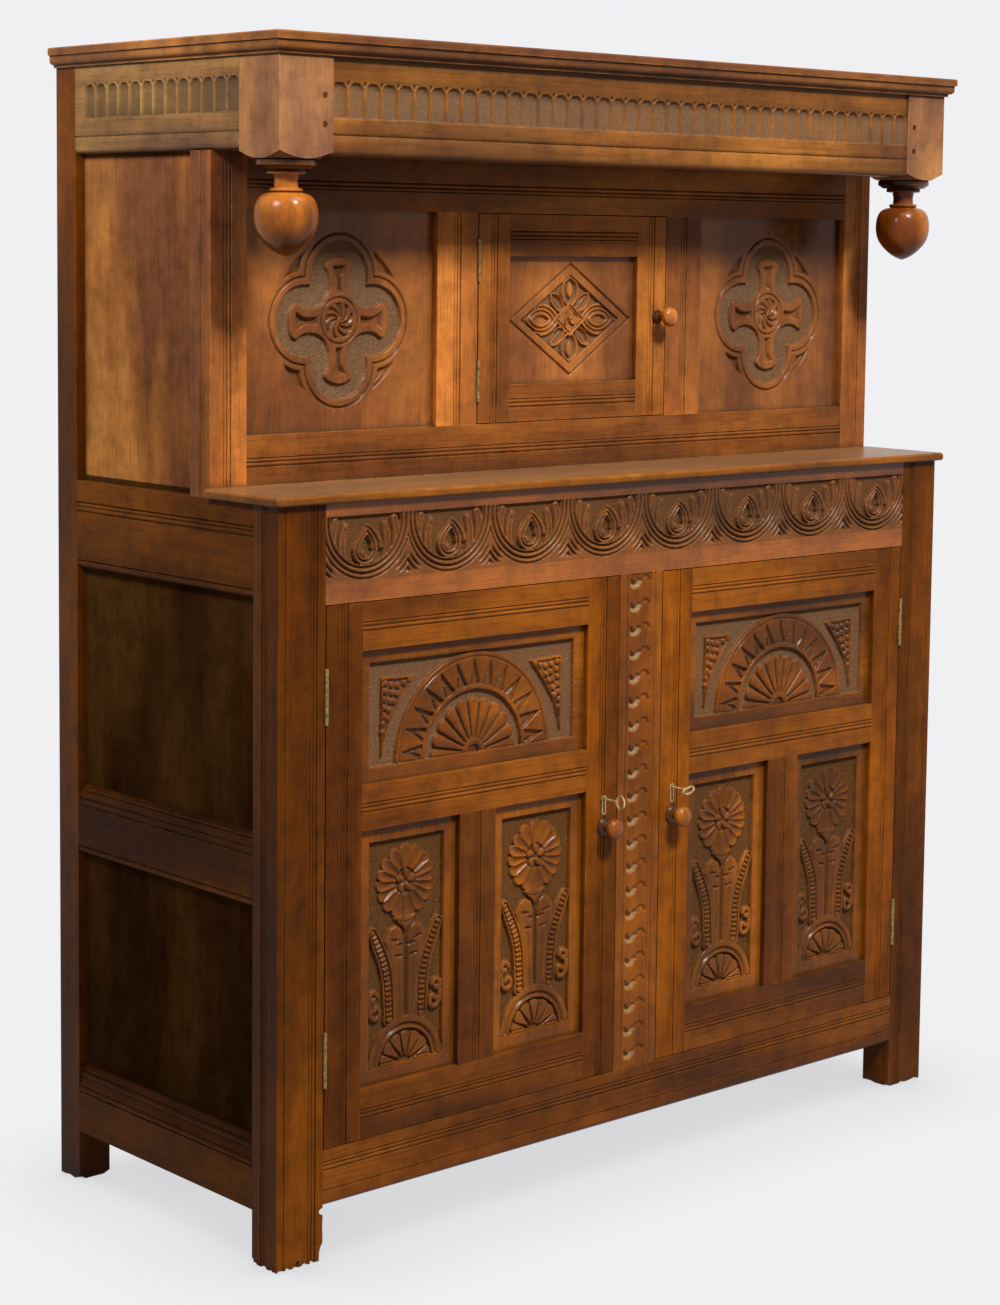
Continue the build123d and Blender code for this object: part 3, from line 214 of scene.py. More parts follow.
def noise(tree, coordinates, scale, offset, detail, roughness):
    """One stretched noise: its value from about 0 to 1."""
    stretched = new_node(tree, "Mapping", {"Vector": coordinates, "Location": offset,
                                           "Scale": scale})
    texture = new_node(tree, "TexNoise", {"Vector": stretched.outputs["Vector"], "Scale": 1.0,
                                          "Detail": detail, "Roughness": roughness})
    return texture.outputs["Fac"]


def ramp(tree, value, *stops):
    """A colour ramp through (place, grey or colour) stops."""
    node = new_node(tree, "ValToRGB", {"Fac": value})
    elements = node.color_ramp.elements
    while len(elements) > 1:
        elements.remove(elements[-1])
    for index, (place, tone) in enumerate(stops):
        element = elements[0] if index == 0 else elements.new(place)
        element.position = place
        element.color = (tone, tone, tone, 1) if isinstance(tone, float) else (*tone, 1)
    return node.outputs["Color"]


def blend(tree, mode, strength, one, two):
    """Two colours joined in one of the ways of a paint program."""
    one, two = ((*colour, 1) if isinstance(colour, tuple) else colour for colour in (one, two))
    node = new_node(tree, "MixRGB", {"Fac": strength, "Color1": one, "Color2": two},
                    blend_type=mode)
    return node.outputs["Color"]


def drawn_out(tree, value, low, high):
    """A value from 0 to 1, drawn out to run from low to high."""
    node = new_node(tree, "MapRange", {"Value": value, "To Min": low, "To Max": high})
    return node.outputs["Result"]


def bumps(tree, height, strength, deep):
    """A surface normal that shines as if the height stood on the surface."""
    node = new_node(tree, "Bump", {"Height": height, "Strength": strength, "Distance": deep})
    return node.outputs["Normal"]


def near(tree, value, middle, reach):
    """1 where a value is within reach of a middle one, and 0 elsewhere."""
    node = new_node(tree, "Math", {0: value, 1: middle, 2: reach}, operation="COMPARE")
    return node.outputs[0]


def crossed_grain(tree, place, wide, high):
    """Swaps the grain between upright and across inside |x| from wide[0] to wide[1] and z in
    high, because one node holds a frame's uprights and its rails together."""
    split = new_node(tree, "SeparateXYZ", {0: place}).outputs
    swapped = new_node(tree, "CombineXYZ", {"X": split["Z"], "Y": split["Y"], "Z": split["X"]})
    outward = new_node(tree, "Math", {0: split["X"]}, operation="ABSOLUTE").outputs[0]
    across, upright = (near(tree, value, (low + top) / 2, (top - low) / 2)
                       for value, (low, top) in ((outward, wide), (split["Z"], high)))
    both = new_node(tree, "Math", {0: across, 1: upright}, operation="MULTIPLY")
    choice = new_node(tree, "Mix", {"Factor": both.outputs[0], "A": place,
                                    "B": swapped.outputs[0]}, data_type="VECTOR")
    return choice.outputs["Result"]


def new_finish(name):
    """A material with its tree, its surface shader and the places on the piece."""
    finish = bpy.data.materials.new(name)
    finish.use_nodes = True
    tree = finish.node_tree
    place = new_node(tree, "TexCoord", {}).outputs["Object"]
    return finish, tree, tree.nodes["Principled BSDF"], place


# %% The oak finish
# A dark brown for corners and grooves: dirt there, and painted shade with it.
DIRT_AND_SHADE, DARKEST_DIRT_AND_SHADE = (0.060, 0.036, 0.016), 0.8
CORNER_REACH, EDGE_RADIUS = 0.012, 0.0020
CLOUDS, AGE, STIPPLE = (30, 30, 30), (5, 5, 5), (300, 300, 420)
# The second number lightens the rubbed edges: wear, and a painted highlight with it.
OLIVE, BARED_AND_HIGHLIT = (0.80, 0.97, 1.2), 1.4


def oak(name, grain, dark, middle, light, rough=0.30, offset=0.0, ground=None, shine=0.10,
        streaky=0.5, crossed=None, greyer_top=None, painted_shading=None):
    """Waxed oak with its grain along one axis.

    ground is the tone of a carved board's punched ground, and on the scrolled post the pale tone
    of a painted highlight. crossed says where the grain turns. The argument before the last is a
    duller, greyer tone for level tops. The last is an axis, a place on it, and how much lighter or
    darker the wood is painted beyond that place: painted light where it is lighter, and painted
    shade where it is darker.
    """
    finish, tree, surface, place = new_finish(name)
    if crossed:
        place = crossed_grain(tree, place, *crossed)
    streak_scale, patch_scale, pore_scale = ALONG[grain]
    shift = (offset, offset * 1.7, offset * 2.3)
    streaks = noise(tree, place, streak_scale, shift, 4, 0.62)
    patches = noise(tree, place, patch_scale, shift, 3, 0.55)
    clouds = noise(tree, place, CLOUDS, shift, 4, 0.65)
    pores = noise(tree, place, pore_scale, shift, 2, 0.5)
    aged = noise(tree, place, AGE, shift, 2, 0.5)
    wood = ramp(tree, patches, (0.36, dark), (0.50, middle), (0.62, light))
    olive = tuple(channel * factor for channel, factor in zip(middle, OLIVE))
    wood = blend(tree, "MIX", ramp(tree, aged, (0.52, 0.0), (0.70, 0.4)), wood, olive)
    wood = blend(tree, "MULTIPLY", streaky, wood, ramp(tree, streaks, (0.30, 0.60), (0.52, 0.98)))
    wood = blend(tree, "MULTIPLY", 0.8, wood, ramp(tree, clouds, (0.34, 0.62), (0.58, 1.0)))
    wood = blend(tree, "MULTIPLY", 0.4, wood, ramp(tree, pores, (0.34, 0.35), (0.46, 1.0)))
    # Painted light and shade: beyond a place on one axis, the colour is multiplied lighter or
    # darker.
    if painted_shading:
        axis, start, factor = painted_shading
        split = new_node(tree, "SeparateXYZ", {0: place})
        beyond = near(tree, split.outputs[axis], start + 1.0, 1.0)
        wood = blend(tree, "MULTIPLY", beyond, wood, (factor, factor, factor))
    # Dirt and painted shade: ambient occlusion darkens corners and grooves towards the dark brown.
    dirt_and_shade_mask = ramp(tree, openness(tree, CORNER_REACH), (0.35, DARKEST_DIRT_AND_SHADE), (0.88, 0.0))
    wood = blend(tree, "MIX", dirt_and_shade_mask, wood, DIRT_AND_SHADE)
    gloss = shine
    if ground:
        cut = new_node(tree, "Attribute", {}, attribute_name="ground").outputs["Fac"]
        dots = ramp(tree, noise(tree, place, STIPPLE, shift, 3, 0.7), (0.36, 0.55), (0.64, 1.0))
        matted = blend(tree, "MULTIPLY", 1.0, ground, dots)
        wood = blend(tree, "MIX", ramp(tree, cut, (0.0, 0.0), (1.0, 0.85)), wood, matted)
        gloss = drawn_out(tree, cut, shine, 0.15 * shine)
    plain = new_node(tree, "NewGeometry", {}).outputs["Normal"]
    # A duller, greyer tone on faces that look up.
    if greyer_top:
        level = new_node(tree, "SeparateXYZ", {0: plain}).outputs["Z"]
        wood = blend(tree, "MIX", ramp(tree, level, (0.90, 0.0), (0.99, 0.65)), wood, greyer_top)
    # Wear and painted highlight: a bevelled normal finds the edges, and where the clouds allow
    # they are lightened towards a paler oak.
    rounded = new_node(tree, "Bevel", {"Radius": EDGE_RADIUS}, samples=4).outputs["Normal"]
    turn = new_node(tree, "VectorMath", {0: rounded, 1: plain}, operation="DOT_PRODUCT")
    highlit_edge = ramp(tree, turn.outputs["Value"], (0.80, 1.0), (0.985, 0.0))
    worn_and_highlit_edges = blend(tree, "MULTIPLY", 1.0, highlit_edge, ramp(tree, clouds, (0.40, 0.10), (0.62, 0.6)))
    wood = blend(tree, "MIX", worn_and_highlit_edges, wood, tuple(min(1.0, c * BARED_AND_HIGHLIT) for c in light))
    grooves = blend(tree, "MULTIPLY", 0.6, streaks, pores)
    feed(tree, surface, {"Base Color": wood, "Specular IOR Level": gloss,
                         "Roughness": drawn_out(tree, clouds, rough - 0.06, rough + 0.12),
                         "Normal": bumps(tree, grooves, 0.3, 0.0006)})
    return finish


# %% The oaks of this cupboard
DARK, MIDDLE, LIGHT = (0.110, 0.028, 0.004), (0.225, 0.058, 0.005), (0.400, 0.112, 0.009)
FAN_GROUND, LOW_GROUND = (0.29, 0.155, 0.078), (0.180, 0.083, 0.030)
# The scroll's pale tone is a painted highlight on the lips of the cuts.
HIGH_GROUND, PAINTED_SCROLL_HIGHLIGHT = (0.26, 0.15, 0.08), (0.62, 0.42, 0.22)
FRONT_NULLED_GROUND, SIDE_NULLED_GROUND = (0.25, 0.155, 0.092), (0.12, 0.085, 0.055)
DOOR_MUNTINS = ((0.2787, 0.3457), (0.2205, 0.5755))
UPPER_RAILS = ((-1.0, 0.1288), (0.0, 2.0))
# Painted light: above this height the side panel is made almost six times lighter, for the lit top
# of the side.
LIT_TOP_SIDE_PANEL = ("Z", 1.026, 5.8)
# Painted shade: above this height the pendant's neck, under its block, is darkened to about a
# fifth.
SHADED_PENDANT_NECK = ("Z", 1.447, 0.22)
# Painted shade: the back of each knob, its neck and flange by the door, is darkened to a quarter
# or a fifth.
SHADED_KNOB_SHANK, SHADED_UPPER_KNOB_SHANK = ("Y", -0.252, 0.25), ("Y", -0.1015, 0.2)


def tone(scale, red=1.0, blue=1.0):
    """The three browns of an oak, darker or lighter, redder or bluer."""
    return [(c[0] * scale * red, c[1] * scale, c[2] * scale * blue) for c in (DARK, MIDDLE, LIGHT)]


# The upper stage, its blocks and its canopy are toned lighter and bluer than the base below them.
# This is painted light, for the stronger light and the haze of reflection up there.
finishes = {
    "upright": oak("waxed_upright", "z", *tone(1.12, 1.05, 0.5), shine=0.08),
    # Painted light: lighter and bluer, like the whole upper stage.
    "upper_upright": oak("waxed_upper_upright", "z", *tone(2.6, 0.85, 2.4), offset=1.0),
    "post": oak("waxed_post", "z", *tone(0.78, 1.05, 0.5), shine=0.07, offset=2.0),
    "rail": oak("waxed_rail", "x", *tone(1.0), offset=3.0),
    # Painted light: lighter and bluer, like the whole upper stage.
    "upper_rail": oak("waxed_upper_rail", "x", *tone(2.0, 0.82, 2.0), offset=3.0),
    "door_rail": oak("waxed_door_rail", "x", *tone(1.0), offset=4.0, crossed=DOOR_MUNTINS),
    # Painted light: lighter and bluer, like the whole upper stage.
    "upper_frame": oak("waxed_upper_frame", "z", *tone(1.9, 0.86, 2.0), offset=6.0,
                       crossed=UPPER_RAILS),
    "side_rail": oak("waxed_side_rail", "y", *tone(0.95, 0.93, 1.5), shine=0.03, offset=5.0),
    # Painted shade and light: the side panels are toned dark for the shaded side, and lighter at
    # the top.
    "side_panel": oak("side_panel_painted_shade_and_light", "z", *tone(0.60, 0.70, 3.0), shine=0.0, offset=8.0,
                      streaky=0.35, painted_shading=LIT_TOP_SIDE_PANEL),
    # Painted light: lighter and bluer, like the whole upper stage.
    "block": oak("waxed_block", "z", *tone(3.25, 0.60, 4.4), offset=12.7, streaky=0.25,
                 shine=0.07),
    "board": oak("polished_board", "x", *tone(1.75, 0.82, 1.4), rough=0.28, offset=13.0,
                 greyer_top=(0.20, 0.115, 0.06)),
    # Painted light: lighter and bluer, like the whole upper stage.
    "cornice": oak("waxed_cornice", "x", *tone(1.8, 0.73, 2.8), offset=12.0),
    "peg": oak("dark_peg", "z", *tone(0.5, 0.8, 2.0), offset=7.0),
    "fan": oak("carved_fan", "x", *tone(1.3, 1.0, 0.3), offset=14.0, shine=0.17,
               ground=FAN_GROUND, rough=0.20),
    "carved": oak("carved_panel", "z", *tone(1.25, 1.0, 0.3), offset=15.0, shine=0.17,
                  ground=LOW_GROUND, rough=0.20),
    "carved_rail": oak("carved_rail", "x", *tone(1.25, 1.0, 1.6), offset=17.0, shine=0.34,
                       ground=LOW_GROUND, rough=0.25),
    # Painted highlight: the marked lips of the scrolls take the pale tone.
    "scroll": oak("carved_post", "z", *tone(1.3, 1.0, 0.6), offset=16.0, shine=0.14,
                  ground=PAINTED_SCROLL_HIGHLIGHT, rough=0.27),
    # Painted light: lighter and bluer, like the whole upper stage.
    "nulled_rail": oak("nulled_rail", "x", *tone(1.7, 0.74, 2.1), offset=18.0, shine=0.12,
                       ground=FRONT_NULLED_GROUND),
    # Painted light: lighter and bluer, like the whole upper stage.
    "carved_side": oak("carved_side", "y", *tone(2.75, 0.54, 3.9), offset=19.0, shine=0.08,
                       ground=SIDE_NULLED_GROUND),
    # Painted light: lighter and bluer, like the whole upper stage.
    "upper_panel": oak("carved_upper_panel", "z", *tone(1.35, 0.86, 2.3), offset=9.0, shine=0.2,
                       ground=HIGH_GROUND, streaky=0.35, rough=0.22),
    # Painted light: lighter and bluer, like the whole upper stage.
    "door_panel": oak("carved_door_panel", "z", *tone(1.9, 0.84, 2.3), offset=10.0, shine=0.2,
                      ground=HIGH_GROUND, streaky=0.35, rough=0.22),
    "inside": oak("bare_board", "x", *tone(1.35, 0.86, 1.3), rough=0.7, offset=21.0),
    "inside_upright": oak("bare_panel", "z", *tone(1.35, 0.86, 1.3), rough=0.7, offset=23.0),
    # Painted shade on the neck of each pendant.
    "turned": oak("polished_turning", "z", (0.04, 0.010, 0.001), (0.21, 0.048, 0.005),
                  (0.64, 0.195, 0.020), rough=0.18, offset=25.0, shine=0.20,
                  painted_shading=SHADED_PENDANT_NECK),
    # Painted shade on the back of each knob.
    "knob": oak("dark_turning", "z", *tone(1.7, 0.98, 0.8), rough=0.22, offset=27.0, shine=0.25,
                painted_shading=SHADED_KNOB_SHANK),
    # Painted light and shade: lighter and bluer like the upper stage, and darker on the back of
    # the knob.
    "upper_knob": oak("pale_turning", "z", *tone(2.8, 0.84, 2.0), rough=0.22, offset=28.0,
                      shine=0.25, painted_shading=SHADED_UPPER_KNOB_SHANK),
}
print("oak finishes:", [m.name for m in finishes.values()])

# %% [markdown]
# ## Brass and iron
# The keyhole rims, keys and hinges are old brass: yellow where fingers rub it and brown in
# the hollows. The lock cases and bolts inside are iron, grey-brown and rough.

# %% The metal finishes
TARNISH, SCRATCHES = (190, 190, 190), (900, 900, 240)
HOLLOW_REACH = 0.004


def old_metal(name, bright, tarnished, rough, metallic=1.0):
    """Metal whose tarnish lies in patches and corners."""
    finish, tree, surface, place = new_finish(name)
    patches = noise(tree, place, TARNISH, (1, 2, 3), 4, 0.6)
    scratches = noise(tree, place, SCRATCHES, (4, 5, 6), 2, 0.5)
    colour = ramp(tree, patches, (0.38, tarnished), (0.58, bright))
    corners = ramp(tree, openness(tree, HOLLOW_REACH), (0.2, 0.3), (0.8, 1.0))
    feed(tree, surface, {"Base Color": blend(tree, "MULTIPLY", 0.8, colour, corners),
                         "Metallic": metallic,
                         "Roughness": drawn_out(tree, patches, rough - 0.1, rough + 0.15),
                         "Normal": bumps(tree, scratches, 0.2, 0.0002)})
    return finish


finishes["brass"] = old_metal("old_brass", (0.84, 0.68, 0.36), (0.50, 0.36, 0.15), rough=0.35,
                              metallic=0.6)
finishes["hinge_brass"] = old_metal("hinge_brass", (0.38, 0.24, 0.07), (0.15, 0.08, 0.02),
                                    rough=0.45, metallic=0.25)
finishes["iron"] = old_metal("lock_iron", (0.16, 0.14, 0.12), (0.07, 0.045, 0.03), rough=0.5)
print("metals:", [finishes[kind].name for kind in ("brass", "hinge_brass", "iron")])

# %% [markdown]
# ## Finishing the joinery
# Every piece of joinery takes the oak whose grain runs along it: posts and muntins upright,
# rails across, side rails front to back. Boards inside were never waxed.

# %% Which piece takes which finish


def both(*names):
    """Each name on the left and on the right."""
    return [name.format(side) for name in names for side in ("left", "right")]


FINISH_OF = {
    "post": both("front_stile_{}", "rear_stile_{}"),
    "peg": ["pegs"],
    "upright": [*both("{}_door_stiles"), "centre_muntin"],
    "upper_upright": [*both("upper_stile_{}"), "upper_muntins"],
    "upper_frame": ["upper_door_frame"],
    "rail": ["frieze_rail", "plinth_rail", "canopy_front_rail"],
    "upper_rail": ["upper_top_rail", "upper_bottom_rail"],
    "door_rail": both("{}_door_rails"),
    "side_rail": both("side_rails_{}", "canopy_side_rail_{}"),
    "side_panel": both("side_panels_{}"),
    "upper_panel": [*both("upper_panel_{}"), "upper_door_panel"],
    "block": both("corner_block_{}"),
    "board": ["table_top"],
    "cornice": ["cornice_board"],
    "inside": ["back_rails", "base_floor", "base_shelf", "shelf_bearers", "soffit_board",
               "upper_catch"],
    "inside_upright": ["back_panels"],
    "turned": both("pendant_{}"),
    "knob": both("{}_door_knob"),
    "upper_knob": ["upper_knob"],
    "fan": both("{}_door_fan_panel"),
    "carved": both("{}_door_flower_panels"),
    "brass": both("{}_key", "{}_escutcheon"),
    "hinge_brass": [*both("{}_door_hinge_leaves"), "upper_door_hinge_leaves",
                    "frame_hinge_leaves"],
    "iron": both("{}_lock_case", "{}_lock_bolt"),
}
for finish_name, pieces in FINISH_OF.items():
    for piece in pieces:
        slots = frame["nodes"][piece].data.materials
        slots.clear()
        slots.append(finishes[finish_name])
print("finished", sum(len(p) for p in FINISH_OF.values()), "of", len(frame["nodes"]), "pieces")

# %% [markdown]
# ## How carving is drawn
# A carver sets in an outline, sinks the ground around it, and then rounds, hollows and veins
# what stands. The same steps work on a fine grid of points: for each point we find its distance
# to an outline, and turn distances into depths. A step sinks the ground, a dome rounds an edge,
# a V cut follows a line. All sizes here are millimetres on the face of the board.

# %% Distances and cuts


def unit(value):
    """A value held between 0 and 1."""
    return np.clip(value, 0, 1)


def polar(u, w):
    """Distance from the origin, and the angle about it in degrees."""
    return np.hypot(u, w), np.degrees(np.arctan2(w, u))


def segment(u, w, start, end):
    """Distance to a straight line from start to end."""
    du, dw = end[0] - start[0], end[1] - start[1]
    t = unit(((u - start[0]) * du + (w - start[1]) * dw) / (du * du + dw * dw))
    return np.hypot(u - start[0] - t * du, w - start[1] - t * dw)


def smooth_path(points, between=6):
    """Points along a smooth curve through the given ones."""
    p = np.array([points[0], *points, points[-1]], float)
    out = []
    for i in range(1, len(p) - 2):
        for t in np.arange(between) / between:
            out.append(0.5 * (2 * p[i] + (p[i + 1] - p[i - 1]) * t
                              + (2 * p[i - 1] - 5 * p[i] + 4 * p[i + 1] - p[i + 2]) * t ** 2
                              + (3 * p[i] - p[i - 1] - 3 * p[i + 1] + p[i + 2]) * t ** 3))
    out.append(p[-1])
    return [tuple(q) for q in out]


def along_path(u, w, path):
    """Distance to a path, and the length run along it at its nearest place."""
    best, run, done = np.full(u.shape, 1e9), np.zeros(u.shape), 0.0
    for start, end in zip(path, path[1:]):
        du, dw = end[0] - start[0], end[1] - start[1]
        length = math.hypot(du, dw)
        t = unit(((u - start[0]) * du + (w - start[1]) * dw) / length ** 2)
        d = np.hypot(u - start[0] - t * du, w - start[1] - t * dw)
        nearer = d < best
        best, run = np.where(nearer, d, best), np.where(nearer, done + t * length, run)
        done += length
    return best, run


def outline(u, w, corners):
    """Distance to a closed outline, negative inside it."""
    distance, inside = np.full(u.shape, 1e9), np.zeros(u.shape, bool)
    for start, end in zip(corners, [*corners[1:], corners[0]]):
        distance = np.minimum(distance, segment(u, w, start, end))
        if start[1] != end[1]:
            crossing = (w >= min(start[1], end[1])) & (w < max(start[1], end[1]))
            at = start[0] + (w - start[1]) * (end[0] - start[0]) / (end[1] - start[1])
            inside ^= crossing & (u < at)
    return np.where(inside, -distance, distance)


def oblong(u, w, half_wide, half_high):
    """Distance to a rectangle about the origin, negative inside it."""
    return np.maximum(np.abs(u) - half_wide, np.abs(w) - half_high)


def almond(u, w, long, high):
    """Distance to an almond about the origin: two arcs that meet in points."""
    radius = (long ** 2 + high ** 2) / (2 * high)
    return np.hypot(u, np.abs(w) + radius - high) - radius


def arch(across):
    """A half round: 1 in the middle and 0 where across reaches 1."""
    return np.sqrt(unit(1 - across ** 2))


def step(distance, soft=1.6):
    """1 inside an outline and 0 outside it, with a short slope."""
    t = unit(0.5 - distance / soft)
    return t * t * (3 - 2 * t)


def dome(distance, reach):
    """0 at an outline, rising like a quarter round to 1 at a reach inside it."""
    t = unit(-distance / reach)
    return np.sqrt(1 - (1 - t) ** 2)


def vee(distance, half):
    """A V cut along a line: 1 in its bottom and 0 beside it."""
    return unit(1 - np.abs(distance) / half)


def lay(depth, level, mask):
    """Brings the surface to a level where the mask is 1."""
    return depth * (1 - mask) + level * mask


def sink(depth, level, distance, soft=1.6, within=1.0):
    """Brings the surface to a level inside an outline."""
    return lay(depth, level, step(distance, soft) * within)


def folded(value, pitch):
    """Distance to the nearest of evenly spaced places, with its sign."""
    return (value + pitch / 2) % pitch - pitch / 2


def repeated(value, pitch):
    """0 at evenly spaced places, and 1 halfway between them."""
    return np.abs(folded(value, pitch)) / (pitch / 2)


def punched(u, w, pitch=3.9, deep=0.9):
    """The small dents of a punch, set close but not quite in rows."""
    column = np.floor(u / pitch)
    row = np.floor(w / pitch + 0.5 * (column % 2))
    wander_u = 0.28 * np.sin(column * 12.9898 + row * 78.233)
    wander_w = 0.28 * np.sin(column * 39.346 + row * 11.135)
    off_u = u / pitch - column - 0.5 - wander_u
    off_w = w / pitch + 0.5 * (column % 2) - row - 0.5 - wander_w
    return deep * unit(1 - np.hypot(off_u, off_w) / 0.5)


def finish_ground(u, w, depth, ground_depth):
    """Punches the ground, and marks where it is for the finish to darken."""
    ground = unit((depth - 0.62 * ground_depth) / (0.3 * ground_depth))
    return depth + ground * punched(u, w), ground


print("a dome one third in is at", round(float(dome(np.array(-1.0), 3.0)), 3))

# %% [markdown]
# ## From a drawing to a board
# The board starts as a flat grid, its lines close together only where it is carved. Each point
# is pressed in by the relief, the grid's rim is drawn back to the board's thickness, and the
# back is closed, so that the board is solid. Its depth of ground is kept on the points for the
# finish; on the scrolled middle post that mark places a painted highlight instead. The board
# then takes the place of the plain one in the joinery.

# %% Carve a board
SHARP_CUT = math.radians(55)
TONGUE = 7.0


def spread(low, high, pace, fine=()):
    """Evenly paced lines from low to high, with others set in between."""
    lines = list(np.linspace(low, high, max(2, int(round((high - low) / pace)) + 1)))
    return np.array(sorted({round(float(v), 4) for v in [*lines, *fine]}))


def box_mm(node):
    """The low and the high corner of a piece of joinery, in millimetres."""
    return [corner * 1000 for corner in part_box(node)]


def points_of(board):
    """Where a mesh's points are, three numbers for each."""
    points = np.zeros(len(board.data.vertices) * 3)
    board.data.vertices.foreach_get("co", points)
    return points.reshape(-1, 3)


def carved_board(name, across, up, face, back, relief, finish,
                 stands_on="front"):
    """A solid board with a relief on its face. All lengths are millimetres.

    stands_on is front for a face that looks along -Y, or left or right for one that looks out
    sideways. There, across runs along Y.
    """
    bpy.ops.object.select_all(action="DESELECT")
    columns, rows = len(across) - 1, len(up) - 1
    bpy.ops.mesh.primitive_grid_add(x_subdivisions=columns, y_subdivisions=rows, size=1)
    board = bpy.context.object
    board.name = name
    points = points_of(board)
    count = len(points)
    column = np.rint((points[:, 0] + 0.5) * columns).astype(int)
    row = np.rint((points[:, 1] + 0.5) * rows).astype(int)
    a, z = across[column], up[row]
    depth, ground = relief(a, z)
    inward = -1 if stands_on == "right" else 1

    def placed(sideways, deep, level):
        if stands_on == "front":
            return np.stack([sideways, face + deep, level], axis=1) * mm
        return np.stack([face + inward * deep, sideways, level], axis=1) * mm

    board.data.vertices.foreach_set("co", placed(a, depth, z).ravel())
    bpy.ops.object.mode_set(mode="EDIT")
    bpy.ops.mesh.select_mode(type="VERT")
    bpy.ops.mesh.select_all(action="DESELECT")
    bpy.ops.mesh.select_non_manifold()
    thickness = (back - face) * mm
    towards = (0, thickness, 0) if stands_on == "front" else (thickness, 0, 0)
    bpy.ops.mesh.extrude_region_move(TRANSFORM_OT_translate={"value": towards})
    bpy.ops.mesh.edge_face_add()
    bpy.ops.object.mode_set(mode="OBJECT")
    points = points_of(board)
    points[count:, 1 if stands_on == "front" else 0] = back * mm
    board.data.vertices.foreach_set("co", points.ravel())
    bpy.ops.object.mode_set(mode="EDIT")
    bpy.ops.mesh.select_all(action="SELECT")
    bpy.ops.mesh.normals_make_consistent(inside=False)
    bpy.ops.object.mode_set(mode="OBJECT")
    bpy.ops.object.shade_smooth_by_angle(angle=SHARP_CUT)
    kept = board.data.attributes.new("ground", "FLOAT", "POINT")
    kept.data.foreach_set("value", np.append(ground, np.zeros(len(points) - count)))
    board.data.materials.append(finish)
    return board


def sits_in(board, body, node):
    """The board moves with a body and stands for a plain piece of joinery."""
    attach(board, body)
    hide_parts(node)
    print(board.name, "has", sum(len(p.vertices) - 2 for p in board.data.polygons), "triangles")


print("lines across a strip of 10 mm, at a pace of 2.5 mm:", spread(0, 10, 2.5))

# %% [markdown]
# ## The fan panels
# At the head of each lower door is half a sun: a ribbed fan, a ring of chip-cut teeth, and a
# thin rim, on a punched ground. The two top corners hold small triangles of pellets. Angles
# round the sun's middle repeat, so one tooth and one rib are drawn and folded all the way round.

# %% Relief of a fan panel
GROUND_DEPTH = 4.5
CUT_DEEPER = 1.3
TOOTH_ANGLE, RIB_ANGLE = 13.9, 17.6
RIM_LINE, TOOTH_BAND, RING, RIBS_END, HUB = 134, 115, 91, 66, 21
FAN_BORDER, PELLET = 20.0, 4.9
FAN_CORNER = [(106, 118), (165, 120), (165, 8), (160, 30), (151, 57), (131, 87)]
PELLETS = [(158, 112), (147, 109), (136, 107), (125, 110), (115, 113), (157, 101), (146, 98),
           (137, 96), (159, 90), (149, 87), (143, 86), (159, 79), (151, 75), (160, 68), (154, 64),
           (161, 57), (162, 46)]


def fan_relief(u, w, half_wide, high):
    """Half a sun on a punched ground. u is from the middle, w from the ground's low edge."""
    around = oblong(u, w - high / 2, half_wide, high / 2)
    depth = GROUND_DEPTH * step(around)
    inside = around < 0
    r, angle = polar(u, w)
    depth = sink(depth, 0.4, np.abs(r - TOOTH_BAND) - 26, within=inside)
    depth += 1.7 * vee(r - RIM_LINE, 1.8) * inside
    tooth = np.abs(np.radians(folded(angle - 90, TOOTH_ANGLE)) * r)
    wide = np.interp(r, [93.5, 96, 130], [0.0, 10.4, 0.4])
    depth = lay(depth, 4.0, step(tooth - wide, 2.2) * step(np.abs(r - 112.5) - 19, 1.2) * inside)
    dart = tooth - np.interp(r, [93, 111], [5.2, 0.3])
    depth = lay(depth, 1.9, step(dart, 1.4) * step(np.abs(r - 102) - 9, 1.2) * inside)
    depth = sink(depth, 0.4, np.abs(r - RING) - 2.6, within=inside)
    rib = repeated(angle - 90, RIB_ANGLE)
    end = RIBS_END + 11 * arch(rib)
    ribs = 0.2 + 1.6 * rib ** 2 + 3.0 * unit(rib - 0.74) / 0.26
    depth = sink(depth, ribs, r - end, 2.0, within=inside)
    depth = sink(depth, 0.3 + 1.0 * (np.abs(r - 16) / 5) ** 2, r - HUB, within=inside)
    depth = sink(depth, 4.0, r - 10.5, 1.8, within=inside)
    corner = outline(np.abs(u), w, FAN_CORNER)
    depth = sink(depth, 3.2, corner)
    depth = sink(depth, 0.9, np.abs(corner + 1.4) - 1.2, 1.2)
    for pu, pw in PELLETS:
        pellet = np.hypot(np.abs(u) - pu, w - pw) - PELLET
        depth = sink(depth, 3.0 - 2.8 * dome(pellet, PELLET), pellet, 0.8)
    depth += 1.3 * vee(w - 1.6, 1.5) * (r < 141) * (np.abs(r - 82) > 6)
    depth, ground = finish_ground(u, w, depth, GROUND_DEPTH)
    clean = 0.8 * step(np.abs(r - 114) - 27) + 0.8 * step(r - 14)
    return CUT_DEEPER * depth, ground * (1 - clean)


for side in ("left", "right"):
    low, high = box_mm(f"{side}_door_fan_panel")
    middle = (low.x + high.x) / 2
    ground_low = low.z + TONGUE + FAN_BORDER
    half_ground = (high.x - low.x) / 2 - TONGUE - FAN_BORDER
    ground_high = high.z - low.z - 2 * (TONGUE + FAN_BORDER)
    panel = carved_board(
        f"{side}_fan_carving", spread(low.x, high.x, 1.15), spread(low.z, high.z, 1.15),
        low.y, high.y,
        lambda a, z: fan_relief(a - middle, z - ground_low, half_ground, ground_high),
        finishes["fan"])
    sits_in(panel, f"{side}_door", f"{side}_door_fan_panel")

